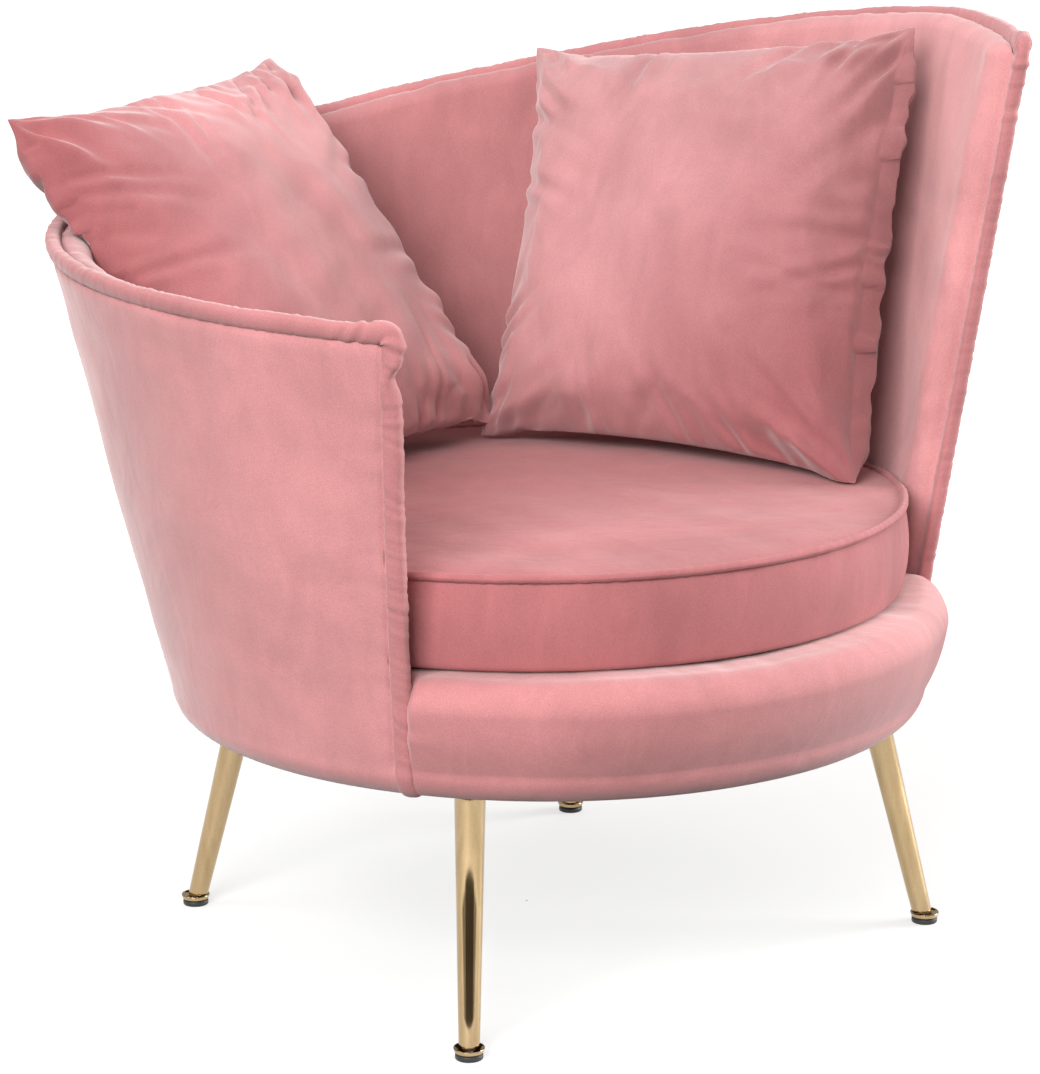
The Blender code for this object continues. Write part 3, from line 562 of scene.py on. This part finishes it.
def base_front_cover(finish):
    """The front of the base between the two welts, rolled over a soft lip under the seat."""
    radius, height = below_base()
    lip_radius, lip_height = arc((0.328, SEAT_LEVEL - 0.024), 0.024, 0, 90, 14)
    t = np.linspace(0, 1, 22)[1:-1]
    belly_height = BASE_WIDEST + t * (lip_height[0] - BASE_WIDEST)
    belly_radius = BASE_RADIUS + t * (lip_radius[0] - BASE_RADIUS) + 0.0030 * np.sin(math.pi * t)
    inner = np.linspace(0.322, 0.296, 8)
    radius = np.concatenate([radius, belly_radius, lip_radius, inner])
    height = np.concatenate([height, belly_height, lip_height, np.full(8, SEAT_LEVEL - 0.0004)])
    rise = np.maximum(height - BASE_WIDEST, 0.0)
    half = FRONT - (BACK + (LEFT_EDGE - BACK) * (1 + WRAP_GROWTH * rise)) - WELT_SPAN + 0.35
    beyond = np.array([0.4, 0.9, 1.6, 2.6, 3.8, 5.0])
    share = np.concatenate([np.full(6, -1.0), np.linspace(-1, 1, 260), np.full(6, 1.0)])
    extra = np.concatenate([-beyond[::-1], np.zeros(260), beyond])
    sunk = 0.013 * smooth(np.abs(extra) / 1.8)
    turn = np.radians(FRONT + half[:, None] * share + extra)
    reach = radius[:, None] - sunk
    grid = np.stack([
        BASE_X + reach * np.cos(turn),
        BASE_Y + reach * np.sin(turn),
        np.repeat(height[:, None], len(share), 1),
    ], -1)
    ends = np.exp(-(1 - np.abs(share)) * 0.34 / 0.014)[None, :]
    track = turn * 0.34
    lip = np.exp(-((height - 0.306) / 0.018) ** 2)[:, None]
    move = 0.0008 * waves(grid, 0.15, 41) + 0.00012 * waves(grid, 0.05, 42)
    move = move + 0.00018 * lip * ripples(track, 0.034, 43) - 0.0016 * ends
    move = move + 0.0004 * ends * ripples(height[:, None] + 0 * turn, 0.020, 44)
    steady = smooth((height - BASE_BOTTOM) / 0.02)[:, None]
    grid = grid - normals(grid) * (-move * steady)[..., None]
    return surface("base_front_skin", grid, finish)


def round_panel(name, radius, height, finish, dip, centre, pulls):
    """A disc of cloth with a gentle sag and radial pulls towards its edge."""
    reach = np.concatenate([[0.001], np.linspace(0.01, radius - 0.006, 26), [radius - 0.002, radius]])
    turn = np.linspace(0, 2 * math.pi, 180, endpoint=False)
    grid = np.stack([
        centre[0] + reach[:, None] * np.cos(turn),
        centre[1] + reach[:, None] * np.sin(turn),
        np.full((len(reach), len(turn)), height),
    ], -1)
    share = (reach / radius)[:, None]
    grid[..., 2] += dip * (1 - share ** 2) + pulls * share ** 6 * ripples(turn, 0.16, 51)[None, :]
    return surface(name, grid, finish, cyclic=True)


# ------------------------------------------------------------------ the seat cushion


def cushion(finish):
    """The boxed round cushion: crowned top, bulging side with puckers at its seams."""
    piping, edge = PIPING_HEIGHT, CUSHION_RADIUS - PIPING_RADIUS * 0.6
    reach = np.concatenate([[0.0008], edge * np.linspace(0.03, 0.9, 34), edge * np.linspace(0.91, 1.0, 14)])
    crown = piping + CUSHION_CROWN * (1 - (reach / edge) ** 2.4)
    side = np.linspace(0.02, 0.98, 26)
    side_height = piping - side * (piping - CUSHION_BOTTOM - 0.0006)
    side_radius = CUSHION_RADIUS - 0.0012 + (CUSHION_BULGE + 0.0012) * np.sin(math.pi * side) ** 0.7
    under = edge * np.concatenate([np.linspace(0.992, 0.03, 18), [0.0025]])
    radius = np.concatenate([reach, side_radius, under])
    height = np.concatenate([crown, side_height, np.full(len(under), CUSHION_BOTTOM)])
    turn = np.linspace(0, 2 * math.pi, 420, endpoint=False)
    grid = np.stack([
        BASE_X + CUSHION_STRETCH * radius[:, None] * np.cos(turn),
        BASE_Y + CUSHION_SHIFT + radius[:, None] * np.sin(turn),
        np.repeat(height[:, None], len(turn), 1),
    ], -1)
    track = turn * CUSHION_RADIUS
    rows = np.arange(len(radius))
    on_top = rows < len(reach)
    on_side = (rows >= len(reach)) & (rows < len(reach) + len(side))
    from_edge = np.where(on_top, edge - radius, np.abs(piping - height))[:, None]
    pucker = np.exp(-from_edge / 0.011)
    broad = np.exp(-from_edge / 0.030)
    move = np.zeros(grid.shape[:2])
    top = on_top[:, None] * smooth((CUSHION_RADIUS - radius) / 0.02)[:, None]
    move += top * (0.0013 * waves(grid, 0.20, 61) + 0.0006 * waves(grid, 0.07, 62))
    lean = track[None, :] + 0.30 * from_edge
    gathered = smooth(0.5 + 0.6 * ripples(track, 0.35, 66))[None, :]
    move += on_top[:, None] * pucker * 0.00050 * ripples(lean, 0.012, 63)
    move += on_side[:, None] * (pucker * 0.0007 * ripples(lean, 0.016, 64) * gathered)
    move += on_side[:, None] * (broad * 0.0009 * ripples(lean, 0.05, 65) + 0.0007 * waves(grid, 0.09, 67))
    down = np.clip((piping - height) / (piping - CUSHION_BOTTOM), 0.05, 1)
    calm = on_side[:, None] * np.sin(math.pi * down)[:, None]
    move = np.where(on_side[:, None], move * np.maximum(calm, 0.25), move)
    grid = grid + normals(grid, cyclic=True) * move[..., None]
    return surface("seat_cushion_skin", grid, finish, cyclic=True, caps=True)


def cushion_piping(finish):
    turn = np.linspace(0, 2 * math.pi, 720, endpoint=False)
    around = np.linspace(0, 2 * math.pi, 14, endpoint=False)
    track = turn * CUSHION_RADIUS
    thick = PIPING_RADIUS * (1 + 0.045 * ripples(track, 0.011, 71) + 0.03 * ripples(track, 0.004, 72))
    sway = 0.0005 * ripples(track, 0.09, 73)
    radius = CUSHION_RADIUS + 0.0006 + sway + thick * np.cos(around)[:, None]
    height = PIPING_HEIGHT + 0.6 * sway + thick * np.sin(around)[:, None]
    grid = np.stack([
        BASE_X + CUSHION_STRETCH * radius * np.cos(turn),
        BASE_Y + CUSHION_SHIFT + radius * np.sin(turn),
        height,
    ], -1)
    grid = np.concatenate([grid, grid[:1]])
    return surface("cushion_piping_cord", grid, finish, cyclic=True)


# ------------------------------------------------------------------ the pillows


def pillow_frame(pose):
    facing, lean, roll = (math.radians(pose[key]) for key in ("facing", "lean", "roll"))
    out = Vector((math.cos(facing) * math.cos(lean), math.sin(facing) * math.cos(lean), math.sin(lean)))
    across = Vector((0, 0, 1)).cross(out).normalized()
    up = out.cross(across)
    turn = Matrix((across, up, out)).transposed() @ Matrix.Rotation(roll, 3, "Z")
    return Matrix.Translation(pose["centre"]) @ turn.to_4x4()


def pillow_plan(u, v, half):
    pull = 0.034
    soften = 1 - 0.015 * np.abs(u * v) ** 8
    x = half * u * (1 - pull * (1 - v * v)) * soften
    y = half * v * (1 - pull * (1 - u * u)) * soften
    return x, y


def pillow_envelope(name, finish, steps=76):
    """A closed knife-edged pillow in its own frame, one grid for each face."""
    line = np.sin(np.linspace(-1, 1, steps + 1) * math.pi / 2) * 0.5 + np.linspace(-1, 1, steps + 1) * 0.5
    u, v = np.meshgrid(line, line)
    x, y = pillow_plan(u, v, PILLOW_HALF)
    plump = (PILLOW_PLUMP - 0.002) * ((1 - u * u) * (1 - v * v)) ** 0.47
    count = (steps + 1) ** 2
    front = np.arange(count).reshape(steps + 1, steps + 1)
    inside = np.zeros_like(front, bool)
    inside[1:-1, 1:-1] = True
    back = front.copy()
    back[inside] = count + np.arange(inside.sum())
    points = np.concatenate([
        np.stack([x, y, plump], -1).reshape(-1, 3),
        np.stack([x, y, -plump], -1)[inside],
    ])
    faces = []
    for grid, flip in ((front, False), (back, True)):
        quads = np.stack([grid[:-1, :-1], grid[:-1, 1:], grid[1:, 1:], grid[1:, :-1]], -1).reshape(-1, 4)
        faces += (quads[:, ::-1] if flip else quads).tolist()
    mesh = bpy.data.meshes.new(name)
    mesh.from_pydata(points.tolist(), [], faces)
    mesh.shade_smooth()
    obj = bpy.data.objects.new(name, mesh)
    bpy.context.scene.collection.objects.link(obj)
    mesh.materials.append(finish)
    return obj


def read_points(mesh):
    flat = np.zeros(len(mesh.vertices) * 3, np.float32)
    mesh.vertices.foreach_get("co", flat)
    return flat.reshape(-1, 3).astype(float)


def write_points(mesh, points):
    mesh.vertices.foreach_set("co", points.astype(np.float32).ravel())
    mesh.update()


def corner_fade(points, reach):
    """0 at the pillow's four corner tips, rising to 1 at a distance from them."""
    return smooth(np.linalg.norm(PILLOW_HALF - np.abs(points[:, :2]), axis=1) / reach)


def inflate(obj, growth, pressure, most):
    """Swells slightly oversized cloth with air, so that it wrinkles at its seams."""
    rest = read_points(obj.data)
    cloth = obj.modifiers.new("cloth", "CLOTH")
    settings = cloth.settings
    settings.quality = 6
    settings.mass = 0.25
    settings.tension_stiffness = 18
    settings.compression_stiffness = 12
    settings.shear_stiffness = 6
    settings.bending_stiffness = 0.12
    settings.use_pressure = True
    settings.uniform_pressure_force = pressure
    settings.shrink_min = -growth
    settings.effector_weights.gravity = 0.0
    cloth.point_cache.frame_start = 1
    cloth.point_cache.frame_end = 24
    scene = bpy.context.scene
    for number in range(1, 23):
        scene.frame_set(number)
    held = obj.evaluated_get(bpy.context.evaluated_depsgraph_get())
    found = read_points(held.data)
    obj.modifiers.remove(cloth)
    scene.frame_set(1)
    move = found - rest
    size = np.linalg.norm(move, axis=1, keepdims=True)
    move *= np.minimum(1.0, most / np.maximum(size, 1e-9))
    write_points(obj.data, rest + move * corner_fade(rest, 0.045)[:, None])


def refine(obj):
    """Doubles the mesh so that it can carry the finer creases."""
    finer = obj.modifiers.new("finer", "SUBSURF")
    finer.levels = 1
    held = obj.evaluated_get(bpy.context.evaluated_depsgraph_get())
    mesh = bpy.data.meshes.new_from_object(held)
    obj.modifiers.remove(finer)
    obj.data = mesh
    mesh.shade_smooth()


def creases(flat, seed, count=70):
    """Folds that start at the seams, gather towards the corners and die away inside."""
    maker = np.random.default_rng(seed)
    rise = np.zeros(len(flat))
    for _ in range(count):
        side, place = maker.integers(4), maker.uniform(-1, 1)
        place = math.copysign(abs(place) ** 0.7, place)
        start = PILLOW_HALF * np.array([(place, 1), (1, place), (place, -1), (-1, place)][side])
        goal = PILLOW_HALF * maker.uniform(-0.45, 0.45, 2)
        run = (goal - start) / np.linalg.norm(goal - start)
        length, width = maker.uniform(0.05, 0.17), maker.uniform(0.0026, 0.0062)
        depth = maker.uniform(0.0019, 0.0047)
        ahead = (flat - start) @ run / length
        beside = (flat - start) @ np.array([-run[1], run[0]]) + maker.uniform(-0.02, 0.02) * ahead ** 2
        taper = smooth(ahead / 0.08 + 0.3) * smooth((1 - ahead) / 0.8)
        spread = width * (1 + 0.9 * np.clip(ahead, 0, 1))
        ridges = 0.55 * bell(np.abs(beside) - 2.1 * spread, 1.1 * spread)
        valley = bell(beside, spread) - ridges
        rise -= depth * taper * valley
    return rise


def crease_pillow(obj, seed, turned_edge):
    """Seam puckers, folds that run in from the corners and soft broad dents.
    On the side named by turned_edge the back panel swells out past its seam."""
    points = read_points(obj.data)
    reach = np.abs(points[:, :2]) / PILLOW_HALF
    nearest = np.max(reach, axis=1)
    from_seam = np.clip(1 - nearest, 0, 1) * PILLOW_HALF
    along = np.where(reach[:, 0] > reach[:, 1], points[:, 1], points[:, 0])
    facing = np.zeros(len(points) * 3, np.float32)
    obj.data.vertex_normals.foreach_get("vector", facing)
    side = np.clip(2.5 * facing[2::3].astype(float), -1, 1)
    pucker = np.exp(-from_seam / 0.016) * smooth(from_seam / 0.004)
    gathered = smooth(0.4 + 0.7 * waves(points, 0.16, seed + 5))
    rise = 0.0015 * pucker * ripples(along + 0.35 * from_seam, 0.017, seed) * gathered
    rise += np.where(side > 0, creases(points[:, :2], seed + 1), creases(points[:, :2], seed + 2))
    for corner_x in (-1, 1):
        for corner_y in (-1, 1):
            away = points[:, :2] - np.array([corner_x, corner_y]) * PILLOW_HALF
            distance = np.linalg.norm(away, axis=1)
            bearing = np.arctan2(away[:, 1], away[:, 0])
            fold = np.exp(-((distance - 0.060) / 0.045) ** 2)
            rise += 0.0036 * fold * ripples(bearing, 0.34, seed + 7 + corner_x + 3 * corner_y)
    rise += 0.0034 * waves(points, 0.15, seed + 2) + 0.0014 * waves(points, 0.055, seed + 3)
    points[:, 2] += side * rise * smooth(from_seam / 0.010) * corner_fade(points, 0.040)
    back = (side < 0) & (np.sign(points[:, 0]) == turned_edge)
    swell = bell(from_seam - 0.016, 0.012) * smooth((1 - reach[:, 1]) / 0.25)
    swell *= smooth(from_seam / 0.004)
    swell *= 1 + 0.06 * ripples(points[:, 1], 0.026, seed + 9)
    points[:, 0] += np.where(back, turned_edge * 0.015 * swell, 0.0)
    write_points(obj.data, points)


def press_pillow(obj, frame, shift):
    """Moves the pillow to its place, shapes its corners and keeps it clear of the chair."""
    points = read_points(obj.data)
    u, v = points[:, 0] / PILLOW_HALF, points[:, 1] / PILLOW_HALF
    for (corner_x, corner_y), move in shift.items():
        weight = np.clip((1 + corner_x * u) / 2, 0, 1) ** 1.5 * np.clip((1 + corner_y * v) / 2, 0, 1) ** 1.5
        points += weight[:, None] * np.array(move)
    matrix = np.array(frame)
    points = points @ matrix[:3, :3].T + matrix[:3, 3]
    across = (points[:, 0] - BASE_X) / CUSHION_STRETCH
    from_middle = np.hypot(across, points[:, 1] - BASE_Y - CUSHION_SHIFT) / CUSHION_RADIUS
    crown = PIPING_HEIGHT + 0.0030 + CUSHION_CROWN * (1 - np.minimum(from_middle, 1.02) ** 2.4)
    points[:, 2] = np.maximum(points[:, 2], crown)
    rise = np.maximum(points[:, 2] - BASE_WIDEST, 0.0)
    centre = np.stack([np.full(len(points), BASE_X), BASE_Y + SHELL_LEAN * rise], -1)
    away = points[:, :2] - centre
    radius = np.linalg.norm(away, axis=1)
    turn = np.degrees(np.arctan2(away[:, 1], away[:, 0]))
    turn = np.where(turn < -90, turn + 360, turn)
    base_turn = BACK + (turn - BACK) / (1 + WRAP_GROWTH * rise)
    top = rim_height(base_turn)
    inner = BASE_RADIUS + SHELL_FLARE * (points[:, 2] - BASE_WIDEST) - WALL - 0.0022
    depth_in = radius - inner
    height_over = top - 0.003 - points[:, 2]
    inside = (depth_in > 0) & (height_over > 0)
    push_in = inside & (depth_in <= height_over * 1.6)
    push_up = inside & ~push_in
    scale = np.where(push_in, inner / np.maximum(radius, 1e-6), 1.0)
    points[:, :2] = centre + away * scale[:, None]
    points[:, 2] = np.where(push_up, top - 0.003 + 0.002, points[:, 2])
    write_points(obj.data, points)


def pillow(side, finish):
    obj = pillow_envelope(f"pillow_{side}_skin", finish)
    seed = {"left": 100, "right": 200}[side]
    inflate(obj, growth=0.045, pressure=5.5, most=0.010)
    refine(obj)
    crease_pillow(obj, seed, {"left": -1, "right": 1}[side])
    shift = {
        "left": {
            (-1, -1): (0.0, -0.026, 0.0), (1, -1): (0.004, -0.030, 0.0),
            (-1, 1): (-0.020, 0.002, 0.0), (1, 1): (-0.012, 0.006, 0.0),
        },
        "right": {
            (-1, -1): (-0.014, -0.006, 0.0), (1, -1): (0.004, -0.034, 0.0),
            (-1, 1): (-0.009, -0.004, 0.0), (1, 1): (0.008, 0.011, 0.0),
        },
    }[side]
    press_pillow(obj, pillow_frame(PILLOWS[side]), shift)
    return obj


# ------------------------------------------------------------------ legs


def leg_axis(name):
    heading, splay = math.radians(SPLAY_HEADING), math.radians(LEG_SPLAY)
    x = math.copysign(math.cos(heading), -FEET[name][0]) * math.sin(splay)
    y = math.copysign(math.sin(heading), -FEET[name][1]) * math.sin(splay)
    return np.array([x, y, math.cos(splay)])


def slant(obj, name):
    """Shears an upright turned body along a leg, keeping its ends level."""
    axis = leg_axis(name)
    points = read_points(obj.data)
    level = np.array([axis[0], axis[1], 0.0])
    lean = np.linalg.norm(level)
    level /= lean
    across = points @ level
    points += np.outer(across * (1 / axis[2] - 1) + points[:, 2] * lean / axis[2], level)
    points[:, :2] += FEET[name]
    write_points(obj.data, points)


def build_leg(name, metal, plastic):
    tube = lathe(f"leg_{name}_tube", [
        (0.0002, 0.0096), (0.0080, 0.0094), (0.0086, 0.0097), (0.0088, 0.0104),
        (0.0093, 0.035), (0.0110, 0.120), (0.0129, 0.2040), (0.0135, 0.2052), (0.0150, PLATE_BOTTOM),
    ], metal)
    slant(tube, name)
    top = np.array([*FEET[name], 0.0]) + leg_axis(name) * PLATE_BOTTOM / leg_axis(name)[2]
    inward = np.array([BASE_X, BASE_Y]) - top[:2]
    middle = top[:2] + inward / np.linalg.norm(inward) * PLATE_INSET
    low, high, rim = PLATE_BOTTOM, PLATE_BOTTOM + PLATE_THICKNESS, PLATE_RADIUS
    plate = lathe(f"leg_{name}_plate", [
        (0.0002, low), (rim - 0.0008, low), (rim, low + 0.0008), (rim, high - 0.0005),
        (rim - 0.0005, high), (0.0002, high),
    ], metal, centre=middle)
    cup = lathe(f"glide_{name}_cup", [
        (0.0058, 0.0052), (0.0100, 0.0052), (0.0112, 0.0054), (0.0122, 0.0066), (0.0128, 0.0084),
        (0.01285, 0.0094), (0.0125, 0.0099), (0.0118, 0.0096), (0.0108, 0.0086), (0.0092, 0.0081),
        (0.0058, 0.0080), (0.0058, 0.0052),
    ], metal, centre=FEET[name])
    pad = lathe(f"glide_{name}_pad", [
        (0.0002, 0.0), (0.0100, 0.0), (0.0110, 0.0003), (0.0115, 0.0010), (0.0115, 0.0040),
        (0.0112, 0.0047), (0.0002, 0.0048),
    ], plastic, centre=FEET[name])
    for obj in (tube, plate):
        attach(obj, "chair")
    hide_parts("leg_" + name)
    for obj, slot, node in ((cup, "brass", "glide_cup_"), (pad, "black_plastic", "glide_pad_")):
        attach(obj, "glide_" + name)
        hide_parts(node + name)


# ------------------------------------------------------------------ the set


def area_light(name, place, target, size, power, colour=(1.0, 1.0, 1.0)):
    data = bpy.data.lights.new(name, "AREA")
    data.shape = "RECTANGLE"
    data.size, data.size_y = size
    data.energy = power
    data.color = colour
    obj = bpy.data.objects.new(name, data)
    bpy.context.scene.collection.objects.link(obj)
    obj.location = place
    obj.rotation_euler = (Vector(target) - Vector(place)).to_track_quat("-Z", "Y").to_euler()


def build_flag(heading, across):
    """A dark card behind the camera that only reflections see: it draws the dark line
    down polished tubes."""
    made, _ = new_material("dark_card", (0.10, 0.085, 0.07), 0.9, Specular_IOR_Level=0.0)
    side = np.linspace(-2.2, 2.2, 4)
    height = np.linspace(-0.2, 2.4, 4)
    grid = np.stack([
        -3.4 * heading[0] + across[0] * side[None, :] + 0 * height[:, None],
        -3.4 * heading[1] + across[1] * side[None, :] + 0 * height[:, None],
        np.repeat(height[:, None], 4, 1),
    ], -1)
    card = surface("dark_card", grid, made)
    card.visible_camera = False
    card.visible_diffuse = False
    card.visible_shadow = False


def build_set():
    """A wide pale floor that glows white away from the chair, soft lights, the camera."""
    made, shader = new_material(
        "studio_floor", (0.33, 0.328, 0.325), 0.6, Specular_IOR_Level=0.1,
        Emission_Color=(1.0, 0.995, 0.985, 1.0), Emission_Strength=0.62,
    )
    tree = made.node_tree
    place = tree.nodes.new("ShaderNodeTexCoord").outputs["Object"]
    tone = ramp_node(tree, noise_node(tree, place, 3.0), [(0.3, grey(0.323)), (0.7, grey(0.337))])
    tree.links.new(tone, shader.inputs["Base Color"])
    away = tree.nodes.new("ShaderNodeVectorMath")
    away.operation = "LENGTH"
    tree.links.new(place, away.inputs[0])
    glow = tree.nodes.new("ShaderNodeMapRange")
    glow.inputs["From Min"].default_value = 0.9
    glow.inputs["From Max"].default_value = 2.2
    glow.inputs["To Min"].default_value = 0.62
    glow.inputs["To Max"].default_value = 1.0
    tree.links.new(away.outputs["Value"], glow.inputs["Value"])
    tree.links.new(glow.outputs["Result"], shader.inputs["Emission Strength"])
    forward = Vector(CAMERA_FORWARD).normalized()
    heading = np.array([forward.x, forward.y]) / math.hypot(forward.x, forward.y)
    across = np.array([-heading[1], heading[0]])
    reach = np.array([0.001, 0.6, 1.2, 2.4, 5.0, 12.0, 40.0])
    turn = np.linspace(0, 2 * math.pi, 64, endpoint=False)
    floor = surface("studio_floor", np.stack([
        reach[:, None] * np.cos(turn),
        reach[:, None] * np.sin(turn),
        np.zeros((len(reach), len(turn))),
    ], -1), made, cyclic=True)
    floor.visible_diffuse = False
    world = bpy.data.worlds.new("studio")
    world.use_nodes = True
    sky = world.node_tree
    parts = sky.nodes.new("ShaderNodeSeparateXYZ")
    sky.links.new(sky.nodes.new("ShaderNodeTexCoord").outputs["Generated"], parts.inputs["Vector"])
    height = sky.nodes.new("ShaderNodeMapRange")
    height.inputs["From Min"].default_value = -1.0
    sky.links.new(parts.outputs["Z"], height.inputs["Value"])
    tone = ramp_node(sky, height.outputs["Result"], [
        (0.0, grey(0.20)), (0.46, grey(0.24)), (0.54, grey(0.80)), (1.0, grey(1.0)),
    ])
    sky.links.new(tone, sky.nodes["Background"].inputs["Color"])
    sky.nodes["Background"].inputs["Strength"].default_value = 0.56
    bpy.context.scene.world = world
    aim = (0.0, 0.0, 0.40)
    area_light("key_left", (-3.9, -2.45, 2.75), aim, (2.6, 2.6), 345)
    area_light("fill_right", (3.4, -1.7, 1.3), aim, (1.8, 2.2), 205)
    area_light("fill_front", (-0.4, -3.2, 1.9), aim, (2.0, 1.4), 12)
    area_light("top", (0.2, 0.4, 3.1), aim, (2.4, 2.4), 12)
    area_light("back_left", (-2.0, 1.3, 2.7), (0.25, -0.1, 0.55), (1.2, 1.2), 22)
    build_flag(heading, across)
    data = bpy.data.cameras.new("camera")
    data.sensor_width = 36.0
    data.sensor_fit = "HORIZONTAL"
    data.lens = CAMERA_LENS
    camera = bpy.data.objects.new("camera", data)
    bpy.context.scene.collection.objects.link(camera)
    turn = forward.to_track_quat("-Z", "Y").to_matrix() @ Matrix.Rotation(math.radians(CAMERA_ROLL), 3, "Z")
    camera.matrix_world = Matrix.Translation(CAMERA_PLACE) @ turn.to_4x4()
    bpy.context.scene.camera = camera
    bpy.context.scene.view_settings.view_transform = "Standard"


# ------------------------------------------------------------------ putting it together


def dress(obj, body, slot, *nodes):
    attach(obj, body)
    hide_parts(*nodes)
    return obj


def main():
    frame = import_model()
    build_set()
    pink = velvet("dusty_pink_velvet", (0.520, 0.218, 0.221), 0.48)
    # Painted shade: the seat, base front and welt use copies of the same velvet with their colour painted
    # darker, so that these parts read darker under the light.
    seat_pink_painted_shade = velvet("dusty_pink_velvet_seat_painted_shade", (0.385, 0.132, 0.136), 0.16)
    base_pink_painted_shade = velvet("dusty_pink_velvet_base_painted_shade", (0.475, 0.190, 0.193), 0.40)
    welt_pink_painted_shade = velvet("dusty_pink_velvet_welt_painted_shade", (0.440, 0.172, 0.175), 0.36)
    # Painted light and shade: the inside copy of the velvet is painted darker over the back and left, down
    # to the shade colour given, and lighter than the velvet towards its right-hand front end.
    inner_pink_painted_light_and_shade = velvet(
        "dusty_pink_velvet_inside_painted_light_and_shade", (0.575, 0.258, 0.261), 0.40,
        painted_shade_fall=((0.77, -0.64, 0.0), 0.10, 0.32, (0.70, 0.61, 0.61)),
    )
    # Painted shade: the pillow copies of the velvet are painted darker where the pillows turn from the
    # light, the left one towards its left end and the right one towards its lower right; this is their
    # deepest shade colour.
    deepest_painted_shade = (0.64, 0.46, 0.47)
    pillow_pinks_painted_shade = {
        "left": velvet(
            "dusty_pink_velvet_pillow_left_painted_shade", (0.480, 0.206, 0.210), 0.42,
            painted_shade_fall=((0.956, 0.292, 0.0), -0.27, -0.10, deepest_painted_shade),
        ),
        "right": velvet(
            "dusty_pink_velvet_pillow_right_painted_shade", (0.440, 0.205, 0.209), 0.42,
            painted_shade_fall=((-0.27, 0.78, 0.56), 0.10, 0.34, deepest_painted_shade),
        ),
    }
    metal = brass()
    black = grained(
        "black_plastic_moulded", (0.018, 0.017, 0.018), (0.030, 0.028, 0.030),
        0.45, 0.0, 120.0, None, 0.08,
    )
    lining = cloth_lining("black_lining", (0.035, 0.035, 0.037), 900.0)
    deck = cloth_lining("deck_cloth", (0.74, 0.70, 0.60), 500.0)
    dress(outer_cover(pink), "chair", "velvet", "shell_cover_outer")
    dress(inner_cover(inner_pink_painted_light_and_shade), "chair", "velvet", "shell_cover_inner", "shell_foam")
    dress(welt(welt_pink_painted_shade), "chair", "velvet", "shell_welt")
    dress(base_front_cover(base_pink_painted_shade), "chair", "velvet", "base_front_cover", "base_front_foam")
    base = (BASE_X, BASE_Y)
    under = round_panel("dust_cover_cloth", 0.2895, 0.2096, lining, 0.0006, base, 0.0003)
    dress(under, "chair", "lining", "dust_cover")
    pad = round_panel("deck_pad_cloth", 0.306, 0.3110, deck, 0.0026, (BASE_X, BASE_Y + 0.006), 0.0004)
    dress(pad, "chair", "foam", "deck_pad")
    seat = cushion(seat_pink_painted_shade)
    dress(
        seat, "seat_cushion", "velvet",
        "cushion_top_panel", "cushion_boxing", "cushion_bottom_panel", "cushion_core",
    )
    dress(cushion_piping(seat_pink_painted_shade), "seat_cushion", "velvet", "cushion_piping")
    for side in PILLOWS:
        nodes = [f"pillow_{side}_{part}" for part in ("front_panel", "back_panel", "filling")]
        dress(pillow(side, pillow_pinks_painted_shade[side]), f"pillow_{side}", "velvet", *nodes)
    for name in FEET:
        build_leg(name, metal, black)
    finishes = {
        "plywood": grained(
            "plywood_raw", (0.46, 0.31, 0.17), (0.66, 0.49, 0.30),
            0.75, 0.0, 30.0, (1.0, 1.0, 0.08), 0.25,
        ),
        "hardboard": grained(
            "hardboard_raw", (0.24, 0.14, 0.08), (0.34, 0.21, 0.12),
            0.8, 0.0, 160.0, None, 0.25,
        ),
        "steel": grained(
            "zinc_plated_steel", (0.42, 0.42, 0.43), (0.60, 0.60, 0.62),
            0.34, 1.0, 180.0, None, 0.06,
        ),
    }
    for row in frame["record"]["subparts"]:
        if row["material_slot"] in finishes:
            mesh = frame["nodes"][row["node"]].data
            mesh.materials.clear()
            mesh.materials.append(finishes[row["material_slot"]])


main()
